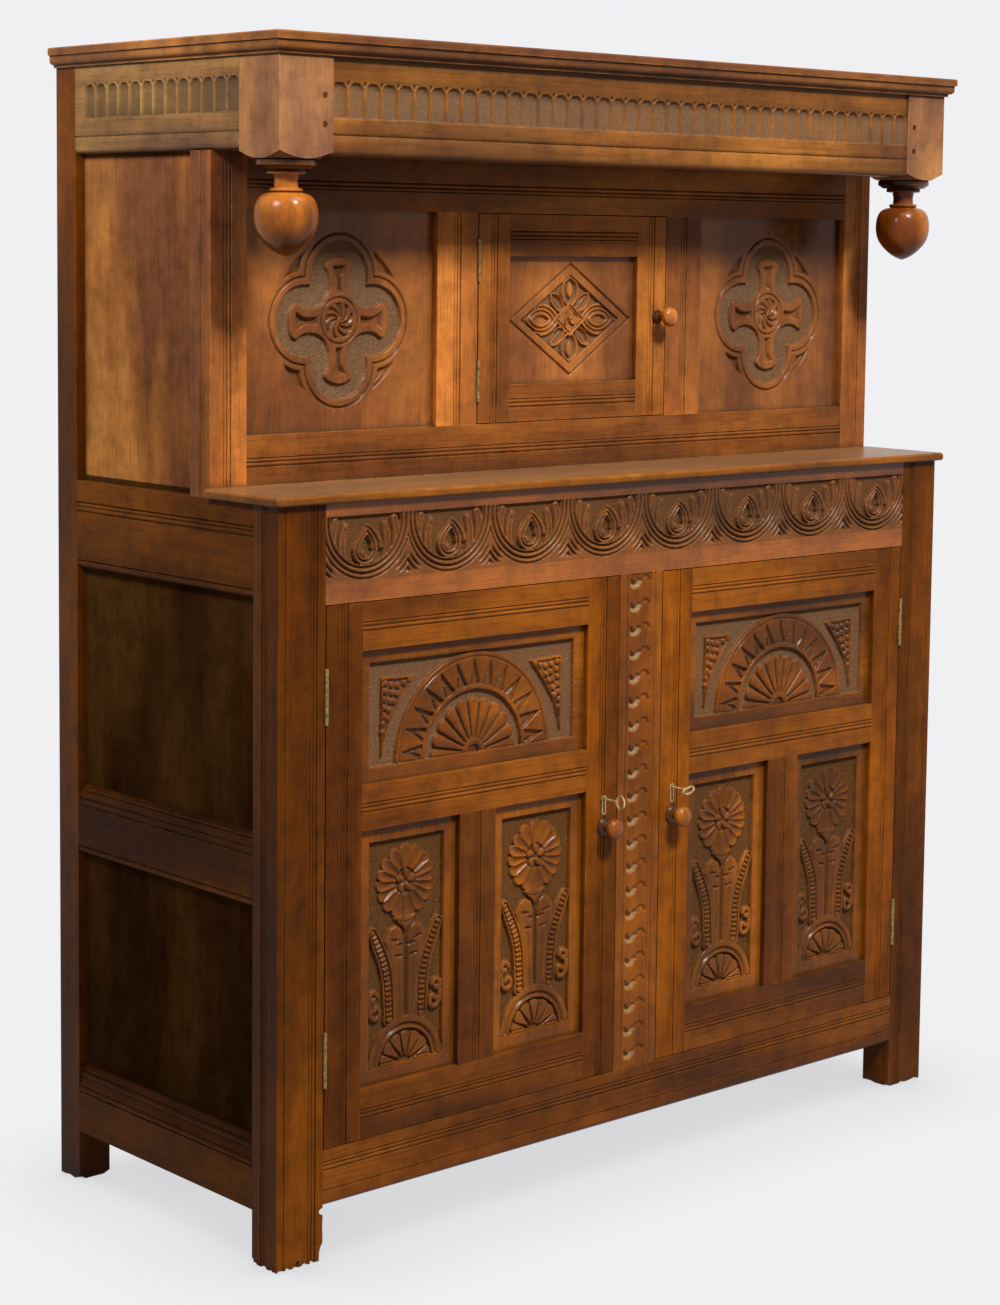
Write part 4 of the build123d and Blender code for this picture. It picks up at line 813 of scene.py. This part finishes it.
# %% [markdown]
# ## The flower panels
# Each lower panel grows a flower out of a half sun: a stem between two broad leaves, a pair of
# tall leaves veined like ladders, scrolled tendrils, and a daisy head of scooped petals. The
# drawing is mirrored about the stem, so each side is drawn once and read with |u|.

# %% Relief of a flower panel
FLOWER_BORDER, FLOWER_OPENING = 21.5, 173.75
HEAD_LEVEL, SUN_LEVEL, SUN_RADIUS = 251, -3, 66
PETAL_ANGLE, SEED_ANGLE, SPOKE_ANGLE, RUNG = 22.5, 72, 25.7, 7.2
LADDER_WIDTHS = ([0, 70, 110, 138], [10.5, 10.5, 10.0, 7.0])
SCOOP = ([13, 26, 40, 48, 52], [1.6, 3.0, 3.2, 2.2, 0.8])
LADDER = smooth_path([(28, 62), (29.5, 92), (31, 115), (36, 138), (44, 158), (52, 175),
                      (58, 187)])
TENDRIL_TOP = smooth_path([(49, 99), (53, 104), (60, 103), (62.5, 97), (59, 92), (55, 94)])
TENDRIL = smooth_path([(62, 97), (63, 84), (61, 73), (54, 67), (46, 70), (45, 78), (50, 82),
                       (55, 78)])
LEAF = [(3.0, 60), (3.0, 172), (7, 186), (17, 192), (29, 187), (38, 172), (33, 158), (26, 128),
        (21, 95), (18, 60)]
CALYX = [(0, 180), (8, 190), (21, 201), (14, 207), (0, 209), (-14, 207), (-21, 201), (-8, 190)]
NICKS = [((15, 170), (25, 172)), ((5, 163), (14, 164)), ((9, 148), (18, 149))]


def flower_relief(u, w, half_wide, high):
    """A flower over a half sun. u is from the middle, w from the ground's low edge."""
    around = oblong(u, w - high / 2, half_wide, high / 2)
    plain = GROUND_DEPTH * step(around)
    depth = plain.copy()
    beside = np.abs(u)
    leaf = outline(beside, w, LEAF)
    depth = sink(depth, 2.9 - 2.6 * dome(leaf, 6.0), leaf)
    depth += 1.3 * vee(beside - 10 - 0.05 * (w - 60), 1.7) * step(leaf + 3, 2) * (w < 150)
    for start, end in NICKS:
        depth += 2.6 * vee(segment(beside, w, start, end), 3.0)
    calyx = outline(u, w, CALYX)
    depth = sink(depth, 2.6 - 2.2 * dome(calyx, 5.0), calyx)
    depth += 1.4 * vee(np.hypot(u, w - 226) - 32, 1.7) * step(calyx + 2, 2)
    ladder, run = along_path(beside, w, LADDER)
    reach = np.interp(run, *LADDER_WIDTHS)
    depth = sink(depth, 0.6, ladder - reach)
    depth = lay(depth, 3.6, step(ladder - reach * 0.66, 1.4) * step(run - 134, 3))
    inner = step(ladder - reach * 0.50, 1.4) * step(run - 131, 3)
    depth = lay(depth, 0.3 + 3.0 * repeated(run, RUNG) ** 2, inner)
    for path in (TENDRIL, TENDRIL_TOP):
        curl, _ = along_path(beside, w, path)
        depth = sink(depth, 2.9 - 2.6 * dome(curl - 4.2, 4.2), curl - 4.2, 1.4)
    r, angle = polar(u, w - HEAD_LEVEL)
    gathered = angle + 6.5 * np.sin(2 * np.radians(angle)) + 3.0 * np.sin(np.radians(angle))
    petal = repeated(gathered - 93, PETAL_ANGLE)
    end = 43.0 + 8.0 * arch(petal)
    head = 0.2 + np.interp(r, *SCOOP) * unit(1 - petal ** 2.6)
    depth = sink(depth, head, r - end, 2.0)
    seed = repeated(angle - 1.2 * r, SEED_ANGLE)
    depth = sink(depth, 3.9, r - 18.0, 1.8)
    lobe = r - 17.5 * arch(seed)
    depth = sink(depth, 0.3 + 2.6 * seed ** 1.5 + 0.8 * unit(1 - r / 8), lobe)
    depth = sink(depth, 3.8, r - 4.2)
    r, angle = polar(u, w - SUN_LEVEL)
    depth = sink(depth, 0.4, r - SUN_RADIUS, 1.8)
    depth = np.where(r < SUN_RADIUS, depth + 3.0 * vee(r - 54.5, 3.4), depth)
    rib = repeated(angle - 90, SPOKE_ANGLE)
    end = 40.5 + 5.0 * arch(rib)
    off_spoke = np.radians(SPOKE_ANGLE / 2) * (1 - rib) * r
    spoke = unit(1 - off_spoke / np.interp(r, [8, 40], [4.2, 1.0]))
    sun = 0.4 + 3.8 * spoke + 2.0 * unit((12 - r) / 10)
    depth = sink(depth, 4.2, r - 48, 1.4)
    depth = sink(depth, sun, r - end)
    depth = depth + 1.6 * vee(w - 3.0, 1.6) * (r < 46)
    depth = np.where(around < 0, depth, plain)
    depth, ground = finish_ground(u, w, np.minimum(depth, GROUND_DEPTH + 0.3), GROUND_DEPTH)
    return CUT_DEEPER * depth, np.maximum(ground, 0.12 * step(around))


for side in ("left", "right"):
    low, high = box_mm(f"{side}_door_flower_panels")
    for place, from_x, to_x in (("outer", low.x, low.x + FLOWER_OPENING + 2 * TONGUE),
                                ("inner", high.x - FLOWER_OPENING - 2 * TONGUE, high.x)):
        middle = (from_x + to_x) / 2
        ground_low = low.z + TONGUE + FLOWER_BORDER
        half_ground = FLOWER_OPENING / 2 - FLOWER_BORDER
        ground_high = high.z - low.z - 2 * (TONGUE + FLOWER_BORDER)
        panel = carved_board(
            f"{side}_flower_carving_{place}", spread(from_x, to_x, 1.05),
            spread(low.z, high.z, 1.05), low.y, high.y,
            lambda a, z: flower_relief(a - middle, z - ground_low, half_ground, ground_high),
            finishes["carved"])
        sits_in(panel, f"{side}_door", f"{side}_door_flower_panels")

# %% [markdown]
# ## The quatrefoils
# The panels beside the upper door carry a quatrefoil: four round lobes edged with a flat band,
# and in it a cross of flared arms that flow into a boss with a whirling rosette. Four small
# chips fill the corners. The figure is the same each quarter turn, so each point is folded into
# the upper arm's quarter.

# %% Relief of a quatrefoil panel
LOBE_PLACE, LOBE_RADIUS, SUNK_RADIUS = 60, 60, 49.5
BOSS, ROSETTE, WHIRL_ANGLE = 31, 24.8, 40
ARM_WIDTHS = ([18, 26, 34, 42, 50, 58, 66, 73, 76],
              [34, 26, 20.5, 17.6, 16.6, 17.2, 19.4, 24.5, 25.0])
BELL_WIDTHS = ([36, 40, 52, 62, 74, 77], [8.0, 6.2, 4.8, 6.2, 12.5, 12.5])
FINE_HALF, FINE_PACE, COARSE_PACE = 121, 1.15, 12


def lobes(u, w, radius):
    """Distance to four round lobes about the middle, with square corners between them."""
    a, b = np.maximum(np.abs(u), np.abs(w)), np.minimum(np.abs(u), np.abs(w))
    return np.minimum(np.hypot(a - LOBE_PLACE, b) - radius, np.maximum(a, b) - radius)


def quatrefoil_relief(u, w):
    """A quatrefoil about the panel's middle."""
    edge = lobes(u, w, LOBE_RADIUS)
    depth = 2.6 * vee(edge, 2.2)
    sunk = lobes(u, w, SUNK_RADIUS)
    depth = sink(depth, 3.6, sunk)
    out, side = np.maximum(np.abs(u), np.abs(w)), np.minimum(np.abs(u), np.abs(w))
    r, angle = polar(u, w)
    half = np.interp(out, *ARM_WIDTHS)
    tip = 73 + 14.5 * arch(side / 25.5)
    arm = np.minimum(np.maximum(side - half, out - tip), r - BOSS)
    depth = sink(depth, 1.1 - 1.0 * dome(arm, 3.4), arm)
    bell = np.maximum(side - np.interp(out, *BELL_WIDTHS), np.abs(out - 56.5) - 19.5)
    depth = sink(depth, 0.3 + 4.6 * unit(-bell / 5.0), bell, 1.0)
    depth += 2.2 * vee(r - 31.8, 1.9)
    depth = sink(depth, 0.2, np.abs(r - 27.6) - 1.9, 1.4)
    turn = (angle - 2.6 * r) % WHIRL_ANGLE / WHIRL_ANGLE
    whirl = 0.6 + 3.4 * unit(np.abs(turn - 0.35) / 0.65) ** 1.4
    depth = sink(depth, whirl, r - ROSETTE, 1.4)
    depth = sink(depth, 0.8, r - 3.6, 1.2)
    chip = np.minimum(edge - 7.5, 113.0 - r)
    depth = np.maximum(depth, np.clip(chip * 1.25, 0, 4.6) * (r < 114))
    stippled = unit((depth - 2.4) / 0.6) * step(sunk, 1.6) * step(-arm, 1.6)
    return np.minimum(1.35 * depth, 6.6) + stippled * punched(u, w), stippled


def close_lines(low, high, coarse, half, fine):
    """Lines over a board, close together within half of its middle, and that middle."""
    middle = (low + high) / 2
    return spread(low, high, coarse, np.arange(middle - half, middle + half + 1, fine)), middle


for side in ("left", "right"):
    low, high = box_mm(f"upper_panel_{side}")
    across, middle_x = close_lines(low.x, high.x, COARSE_PACE, FINE_HALF, FINE_PACE)
    up, middle_z = close_lines(low.z, high.z, COARSE_PACE, FINE_HALF, FINE_PACE)
    panel = carved_board(f"{side}_quatrefoil_carving", across, up, low.y, high.y,
                         lambda a, z: quatrefoil_relief(a - middle_x, z - middle_z),
                         finishes["upper_panel"])
    sits_in(panel, "carcass", f"upper_panel_{side}")

# %% [markdown]
# ## The lozenge on the upper door
# The small door's panel has a double lozenge line. Inside it are two almond eyes, a middle
# diamond, and scooped petals above, below and on the slants.

# %% Relief of the lozenge
OUTER_LOZENGE, INNER_LOZENGE, DIAMOND = (121, 82), (98, 65), (33, 26)
EYE_PLACE, SLANT_PETAL, UPRIGHT_PETAL, BUD = 58, 35, 42, 44


def lozenge(u, w, half_wide, half_high):
    """Distance to a lozenge about the middle, negative inside it."""
    return (np.abs(u) / half_wide + np.abs(w) / half_high - 1) \
        / math.hypot(1 / half_wide, 1 / half_high)


def scooped(depth, distance, rim=0.2, deep=4.0, wall=1.8):
    """A petal hollowed inside its rim."""
    hollow = rim + (deep - rim) * unit((-distance - wall) / 2.6)
    return lay(depth, hollow, step(distance, 1.4))


def lozenge_relief(u, w):
    """A lozenge with eyes, petals and a diamond."""
    depth = 2.6 * vee(lozenge(u, w, *OUTER_LOZENGE), 2.0)
    inner = lozenge(u, w, *INNER_LOZENGE)
    depth = sink(depth, 3.6, inner)
    beside = np.abs(u) - EYE_PLACE
    eye = almond(beside, w, 38, 24.0)
    depth = sink(depth, 0.3, np.maximum(eye, inner + 1.5), 1.4)
    for long, high in ((31, 18.2), (23.5, 12.4)):
        depth += 2.6 * vee(almond(beside, w, long, high), 2.0) * (inner < -1)
    depth = sink(depth, 3.8, almond(beside, w, 15, 6.8))
    for turn in (45, 135, 225, 315):
        c, s = math.cos(math.radians(turn)), math.sin(math.radians(turn))
        along, off = u * c + w * s, -u * s + w * c
        petal = np.maximum(almond(along - SLANT_PETAL, off, 21, 10.5), inner + 0.6)
        depth = scooped(depth, petal)
        depth -= 1.2 * vee(off, 2.2) * (petal < -3.5)
    for up in (1, -1):
        petal = almond(up * w - UPRIGHT_PETAL, u, 24, 17.5)
        depth = scooped(depth, np.maximum(petal, inner + 0.6), wall=2.4)
        bud = almond(up * w - BUD, u, 13, 6.0)
        depth = sink(depth, 2.4 - 2.0 * dome(bud, 5.0), bud, 1.2)
    middle = lozenge(u, w, *DIAMOND)
    depth = sink(depth, 0.1, middle, 1.4)
    depth += 2.2 * vee(middle + 4.4, 1.7)
    r, angle = polar(u, w)
    turn = (angle - 4.0 * r) % 90 / 90
    depth = sink(depth, 0.4 + 3.0 * turn, middle + 7.0, 1.4)
    stippled = unit((depth - 3.0) / 0.5) * step(inner) * step(-eye, 1.4)
    return np.minimum(1.35 * depth, 6.6) + 0.6 * stippled * punched(u, w, 3.0), stippled


low, high = box_mm("upper_door_panel")
across, middle_x = close_lines(low.x, high.x, 10, 124, 1.1)
up, middle_z = close_lines(low.z, high.z, 10, 85, 1.1)
panel = carved_board("lozenge_carving", across, up, low.y, high.y,
                     lambda a, z: lozenge_relief(a - middle_x, z - middle_z),
                     finishes["door_panel"])
sits_in(panel, "upper_door", "upper_door_panel")

# %% [markdown]
# ## The frieze of lunettes
# Under the base's top runs a band of eight lunettes: nested round arcs like swags, an eye with
# a hood in each, and curled leaves beside it. One lunette is drawn and folded along the band.

# %% Relief of the frieze rail
LUNETTE = 147.1
BAND_LOW, BAND_HIGH, BAND_HALF = 28.0, 115.0, 43.5
EYE_LEVEL, BALL_LEVEL = 41, 35
DROP_WIDTHS = ([0, 0.3, 0.6, 0.85, 1.0, 1.3, 2.2], [1, 0.92, 0.62, 0.28, 0, -0.8, -4])
SWAG_RADIUS, SWAG_CENTRE, SWAG_RIDGE = 77.5, 79.0, 7.6
LEAVES = [smooth_path([(30, 18), (37, 36), (38, 54), (33, 74)]),
          smooth_path([(46, 32), (53, 48), (54, 62), (50, 80)])]


def teardrop(x, w, radius, high):
    """Distance to a drop about a round middle, with its point above."""
    narrow = np.interp(w / high, *DROP_WIDTHS)
    return np.where(w < 0, np.hypot(x, w) - radius,
                    0.85 * (np.abs(x - 0.12 * np.maximum(w, 0)) - narrow * radius))


def lunette_relief(u, w):
    """Lunettes along a band. w is from the band's low edge."""
    band = step(np.abs(w - BAND_HALF) - BAND_HALF, 1.6)
    x = folded(u + LUNETTE / 2, LUNETTE)
    depth = 3.6 * np.ones_like(u)
    for path in LEAVES:
        leaf, run = along_path(np.abs(x), w, path)
        reach = np.interp(run, [0, 20, 45, 62], [4.0, 7.0, 7.0, 5.0])
        depth = sink(depth, 2.8 - 2.6 * dome(leaf - reach, reach), leaf - reach, 1.4)
        depth += 1.9 * vee(leaf, 1.9) * (run > 3) * (run < 54)
    drop = teardrop(x, w - EYE_LEVEL, 21, 29)
    hood = step(drop - 8.5, 1.4) * step(-drop, 1.0) * step(6 - x, 6.0) * step(40 - w, 6.0)
    depth = lay(depth, 0.5, hood)
    depth += 2.8 * vee(drop - 1.6, 1.7) * hood
    depth = sink(depth, 0.2, drop, 1.4)
    depth += 2.6 * vee(drop + 5.2, 1.9)
    depth = sink(depth, 4.2, drop + 9.5, 2.2)
    ball = np.hypot(x + 2.0, w - BALL_LEVEL) - 5.6
    depth = sink(depth, 3.6 - 2.2 * dome(ball, 5.6), ball, 1.2)
    r = np.hypot(x, w - SWAG_CENTRE)
    bead = np.abs((r - SWAG_RADIUS) % SWAG_RIDGE - SWAG_RIDGE / 2) / (SWAG_RIDGE / 2)
    ridges = 0.1 + 3.8 * bead ** 2.4
    swag = step(SWAG_RADIUS - 2.5 * SWAG_RIDGE - r, 1.4)
    depth = lay(depth, ridges, swag)
    spandrel = step(SWAG_RADIUS - r, 1.4)
    strokes = unit((34 - w) / 10) * unit((np.abs(x) - 50) / 8) * unit((w - 4) / 6)
    depth = lay(depth, 0.1 + (ridges - 0.1) * strokes, spandrel)
    depth = np.clip(depth, 0, 4.4) * band
    ground = unit((depth - 3.0) / 0.5) * band * (1 - swag)
    return 1.6 * depth + ground * punched(u, w), np.maximum(ground, 0.55 * band)


low, high = box_mm("frieze_rail")
half_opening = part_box("front_stile_right")[0].x * 1000
rows = spread(low.z, high.z, 14, np.arange(low.z + BAND_LOW - 1.2, low.z + BAND_HIGH + 1.3, 1.15))
rail = carved_board("frieze_carving", spread(-half_opening, half_opening, 1.25), rows, low.y,
                    high.y, lambda a, z: lunette_relief(a, z - low.z - BAND_LOW),
                    finishes["carved_rail"])
sits_in(rail, "carcass", "frieze_rail")

# %% [markdown]
# ## Nulling on the canopy
# The canopy's rails carry nulling, a row of upright hollows with round tops, like a comb of
# small arches. Narrow ribs part them, and a little chip is taken between their tops. The rails
# also keep their moulded lower edge: a round nose and one incised line.

# %% Relief of the canopy rails
FRONT_RAIL = {"nose": 9.0, "line": 27.0, "band": 48.0, "tall": 50.0}
SIDE_RAIL = {"nose": 7.0, "line": 23.0, "band": 47.0, "tall": 50.0}
FRONT_NULLS, SIDE_NULLS, PLAIN_END = 41, 13, 20
VEE_LINES = (-1.8, -0.9, 0, 0.9, 1.8)


def nulling(u, w, pitch, high):
    """Upright hollows with round tops. u starts on a rib, w at the band's low edge."""
    x = folded(u + pitch / 2, pitch)
    reach = pitch / 2 - 1.7
    top = high - reach - 2.0
    off = np.where(w > top, np.hypot(x, w - top), np.abs(x))
    hollow = arch(off / reach)
    foot = step(1.6 - w, 1.6)
    chip = np.maximum(np.abs(folded(u, pitch)) - 0.42 * (w - high + 9.5), w - high + 1.2)
    depth = 0.5 + (4.4 * hollow ** 0.8) * foot
    depth = np.maximum(depth, 3.4 * unit(-chip / 1.8))
    return depth * step(np.abs(w - high / 2) - high / 2, 1.4), hollow * foot


def nulled_rail(u, w, nulls, start, end, nose, line, band, tall):
    """A canopy rail's face. w is from the rail's low edge, the band runs from start to end."""
    cut, hollow = nulling(u - start, w - band, (end - start) / nulls, tall)
    in_band = step(np.maximum(start - u, u - end), 1.4)
    depth = 1.35 * cut * in_band
    depth += np.where(w < nose, nose - np.sqrt(np.clip(nose ** 2 - (nose - w) ** 2, 0, None)), 0)
    depth += 1.8 * vee(w - line, 1.6)
    return depth, 0.75 * unit(1.6 * hollow) * in_band * (depth > 1.2)


def rail_rows(low, high, nose, line, band, tall):
    """Rows for a canopy rail: close on the nose, the line and the band."""
    on_nose = [low + nose * (1 - math.cos(t)) for t in np.linspace(0, math.pi / 2, 8)]
    on_line = [low + line + d for d in VEE_LINES]
    on_band = np.arange(low + band - 1.2, low + band + tall + 1.3, 1.2)
    return spread(low, high, 16, [*on_nose, *on_line, *on_band])


low, high = box_mm("canopy_front_rail")
between_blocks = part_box("corner_block_right")[0].x * 1000
rail = carved_board(
    "canopy_front_carving", spread(-between_blocks, between_blocks, 1.4),
    rail_rows(low.z, high.z, **FRONT_RAIL), low.y, high.y,
    lambda a, z: nulled_rail(a, z - low.z, FRONT_NULLS, -between_blocks, between_blocks,
                             **FRONT_RAIL),
    finishes["nulled_rail"])
sits_in(rail, "carcass", "canopy_front_rail")

block_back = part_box("corner_block_left")[1].y * 1000
post_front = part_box("rear_stile_left")[0].y * 1000
for side in ("left", "right"):
    low, high = box_mm(f"canopy_side_rail_{side}")
    face, back = (low.x, high.x) if side == "left" else (high.x, low.x)
    rail = carved_board(
        f"canopy_side_carving_{side}", spread(block_back, post_front, 1.4),
        rail_rows(low.z, high.z, **SIDE_RAIL), face, back,
        lambda a, z: nulled_rail(a, z - low.z, SIDE_NULLS, block_back, post_front - PLAIN_END,
                                 **SIDE_RAIL),
        finishes["carved_side"], stands_on=side)
    sits_in(rail, "carcass", f"canopy_side_rail_{side}")

# %% [markdown]
# ## The middle post between the doors
# A strip of running scrolls climbs the middle post. Each scroll is two gouge cuts, a smile and
# a frown, that flow into each other. The lines beside the strip and the rounded edges are cut
# in the same relief. Then a mortise is cut in each side, where the bolt of a lock goes in.

# %% Relief of the middle post
SCROLL = 35.0
STRIP_HALF, POST_LINE, ROUND_EDGE = 22, 28.5, 0.8
BOLT_THROW, MORTISE_PLAY, PROUD = 12.0, 0.8, 2


def cut_away(piece, cutter, overlapping=False):
    """Takes a cutter's shape out of a piece. The cutter may be lumps that overlap each other."""
    cut = piece.modifiers.new("cut", "BOOLEAN")
    cut.operation = "DIFFERENCE"
    cut.object = cutter
    cut.solver = "EXACT"
    cut.use_self = overlapping
    bpy.context.view_layer.objects.active = piece
    bpy.ops.object.modifier_apply(modifier=cut.name)
    bpy.ops.object.select_all(action="DESELECT")
    cutter.select_set(True)
    bpy.ops.object.delete()


def scroll_relief(u, w, half_wide):
    """Running scrolls in a sunk strip. w is from the foot of the post."""
    strip = step(np.abs(u) - STRIP_HALF, 1.4)
    smile_w = folded(w - 18, SCROLL)
    r = np.hypot(u + 11.5, smile_w - 7)
    # Painted highlight: the outer lip of each smile is marked for the finish's pale tone.
    highlit_edge = unit((r - 7.0) / 2.0)
    smile = unit(1 - np.abs(8.6 - r) / np.where(r < 8.6, 5.5, 6.2))
    smile *= step(smile_w - 7, 5.0) * step(u - 1, 6.0)
    highlit_edge *= unit(1.6 * smile)
    frown_w = folded(w - 24, SCROLL)
    r = np.hypot(u - 10.0, frown_w + 4)
    frown = unit(1 - np.abs(9.5 - r) / np.where(r < 9.5, 6.5, 1.8))
    frown *= step(-4 - frown_w, 3.0) * step(-1.5 - u, 4.0)
    depth = (1.6 + 4.8 * smile + 2.6 * frown) * strip
    depth += 1.8 * vee(np.abs(u) - POST_LINE, 1.6)
    edge = half_wide - np.abs(u)
    rounding = ROUND_EDGE - np.sqrt(np.clip(ROUND_EDGE ** 2 - (ROUND_EDGE - edge) ** 2, 0, None))
    depth += np.where(edge < ROUND_EDGE, rounding, 0)
    return depth, 0.8 * highlit_edge * strip


low, high = box_mm("centre_muntin")
foot, head = (v.z * 1000 for v in (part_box("plinth_rail")[1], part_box("frieze_rail")[0]))
on_strip = np.arange(-STRIP_HALF - 1, STRIP_HALF + 1.1, 1.0)
on_lines = [side * (POST_LINE + d) for side in (-1, 1) for d in VEE_LINES]
on_edges = [side * (high.x - d) for side in (-1, 1) for d in (0.2, 0.5, ROUND_EDGE)]
columns = spread(low.x, high.x, 10, [*on_strip, *on_lines, *on_edges])
post = carved_board("scroll_carving", columns, spread(foot, head, 1.2), low.y, high.y,
                    lambda a, z: scroll_relief(a, z - foot, high.x), finishes["scroll"])
deep = BOLT_THROW + MORTISE_PLAY
for side, bolt in ((-1, "left_lock_bolt"), (1, "right_lock_bolt")):
    bolt_low, bolt_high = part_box(bolt)
    middle = (bolt_low + bolt_high) / 2
    size = bolt_high - bolt_low + 2 * MORTISE_PLAY * mm * Vector((1, 1, 1))
    bpy.ops.mesh.primitive_cube_add(
        size=1, location=(side * (high.x - deep / 2 + PROUD / 2) * mm, middle.y, middle.z),
        scale=((deep + PROUD) * mm, size.y, size.z))
    cut_away(post, bpy.context.object)
sits_in(post, "carcass", "centre_muntin")
print("mortises for the bolts:", len(post.data.vertices), "vertices in", post.name)

# %% [markdown]
# ## Mouldings on the side rails
# The side rails were run with a scratch stock: fillets, a hollow and a bead towards the panel
# below the eye, and a bead with a line where a panel hangs under a rail. A moulding is one
# section drawn out along the rail, so it is a list of heights and depths across a grid.

# %% Side rails
FOOT_SECTION = [(0, 14.2), (4, 9.0), (9, 5.4), (10.5, 7.6), (12, 4.2), (14, 3.2), (17, 3.4),
                (18.5, 5.4), (20, 4.0), (25, 2.6), (30, 0.6), (31.5, 3.0), (33, 0.9), (36, 0.0),
                (38.2, 0.6), (39.5, 2.4), (40.8, 0)]
MID_SECTION = [(0, 14.2), (2.5, 10.5), (4, 11.5), (5.5, 8.0), (7.5, 7.0), (9, 9.0), (10.5, 5.8),
               (18, 3.2), (19.5, 5.0), (21.5, 1.2), (24, 0.2), (26.5, 0.8), (28.5, 2.6), (30, 0)]
LOW_SECTION = [(0, 14.2), (0.8, 9.0), (2.5, 4.5), (5.5, 1.0), (8, 0.2), (10.5, 0.9), (12, 2.8),
               (13.5, 0)]
TOP_SECTION = [(29, 0), (30.5, 2.8), (32.5, 0.7), (34.5, 0.4), (36.5, 2.6), (38.5, 0.6),
               (41, 0.4), (43.5, 3.0), (45, 0)]


def section_relief(up_from_low, down_from_top, low_section, top_section):
    """Depth across a rail: one section from its low edge and one from its top edge."""
    depth = np.zeros(up_from_low.shape)
    for distance, section in ((up_from_low, low_section), (down_from_top, top_section)):
        if section:
            places, depths = zip(*section)
            on_it = (distance <= places[-1]) * (distance >= places[0])
            depth = np.maximum(depth, np.interp(distance, places, depths) * on_it)
    return depth, np.zeros(depth.shape)


SIDE_RAILS = [("foot", 73.0, 172.0, None, FOOT_SECTION),
              ("middle", 482.0, 582.0, LOW_SECTION, MID_SECTION),
              ("top", 893.5, 1018.5, LOW_SECTION, TOP_SECTION)]
post_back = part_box("front_stile_left")[1].y * 1000
rear_post_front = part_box("rear_stile_left")[0].y * 1000
for side in ("left", "right"):
    low, high = box_mm(f"side_rails_{side}")
    face, back = (low.x, high.x) if side == "left" else (high.x, low.x)
    for name, foot, head, low_section, top_section in SIDE_RAILS:
        fine = [foot + place for place, _ in low_section or []]
        fine += [head - place for place, _ in top_section]
        rail = carved_board(
            f"{side}_side_rail_{name}", spread(post_back, rear_post_front, 60),
            spread(foot, head, 30, fine), face, back,
            lambda a, z: section_relief(z - foot, head - z, low_section, top_section),
            finishes["side_rail"], stands_on=side)
        sits_in(rail, "carcass", f"side_rails_{side}")

# %% [markdown]
# ## Worn feet
# Centuries of damp floors and kicks have eaten the feet. Each chip is a small lump taken out of
# a copy of the post. The lumps are joined first, so that the post is cut only once.

# %% Chip the feet
SHARP_CHIP = math.radians(35)
TURNED_LUMP = 16


def chipped_post(name, node, finish, lumps):
    """A copy of a post with lumps (place, size) cut out of it, in millimetres."""
    bpy.ops.object.select_all(action="DESELECT")
    for number, (place, size) in enumerate(lumps):
        turned = number if max(size) < TURNED_LUMP else 0
        bpy.ops.mesh.primitive_ico_sphere_add(
            subdivisions=2, radius=1, location=[v * mm for v in place],
            rotation=(0.4 * turned, 0.7 * turned, 1.1 * turned), scale=[v * mm for v in size])
        bpy.context.object.name = f"lump_{number}"
    lump_objects = [o for o in scene.objects if o.name.startswith("lump_")]
    for lump in lump_objects:
        lump.select_set(True)
    bpy.ops.object.join()
    cutter = bpy.context.object
    bpy.ops.object.select_all(action="DESELECT")
    source = frame["nodes"][node]
    source.select_set(True)
    bpy.context.view_layer.objects.active = source
    bpy.ops.object.duplicate()
    post = bpy.context.object
    post.name = name
    bpy.ops.object.mode_set(mode="EDIT")
    bpy.ops.mesh.select_all(action="SELECT")
    bpy.ops.mesh.remove_doubles(threshold=0.00001)
    bpy.ops.object.mode_set(mode="OBJECT")
    bpy.ops.mesh.customdata_custom_splitnormals_clear()
    cut_away(post, cutter, overlapping=True)
    post.select_set(True)
    bpy.context.view_layer.objects.active = post
    bpy.ops.object.shade_smooth_by_angle(angle=SHARP_CHIP)
    post.data.materials.clear()
    post.data.materials.append(finish)
    return post


LEFT_LUMPS = [((-580, -212, 2), (10, 60, 27)), ((-580, -212, 47), (3.5, 60, 16)),
              ((-582, -212, 67), (8, 60, 6)), ((-600, -212, 0), (4, 60, 4)),
              ((-613, -212, -2), (6, 60, 6)), ((-628, -238, 0), (3.5, 12, 4)),
              ((-641, -238, 0), (4, 12, 3.5)), ((-652, -238, -1), (4, 12, 5)),
              ((-661, -225, 0), (9, 4, 4)), ((-661, -211, -1), (10, 5, 6)),
              ((-663, -190, 0), (12, 6, 8))]
RIGHT_LUMPS = [((645, -212, -34), (34, 90, 40)), ((618, -240, -8), (15, 12, 10)),
               ((580, -240, -4), (10, 10, 14)), ((578, -196, -6), (10, 20, 11))]
REAR_LUMPS = [((-662, 232, -8), (16, 16, 14)), ((-664, 258, -12), (14, 26, 15)),
              ((-606, 232, -6), (10, 14, 14))]
for name, node, lumps in (("left_front_post", "front_stile_left", LEFT_LUMPS),
                          ("right_front_post", "front_stile_right", RIGHT_LUMPS),
                          ("left_rear_post", "rear_stile_left", REAR_LUMPS)):
    sits_in(chipped_post(name, node, finishes["post"], lumps), "carcass", node)
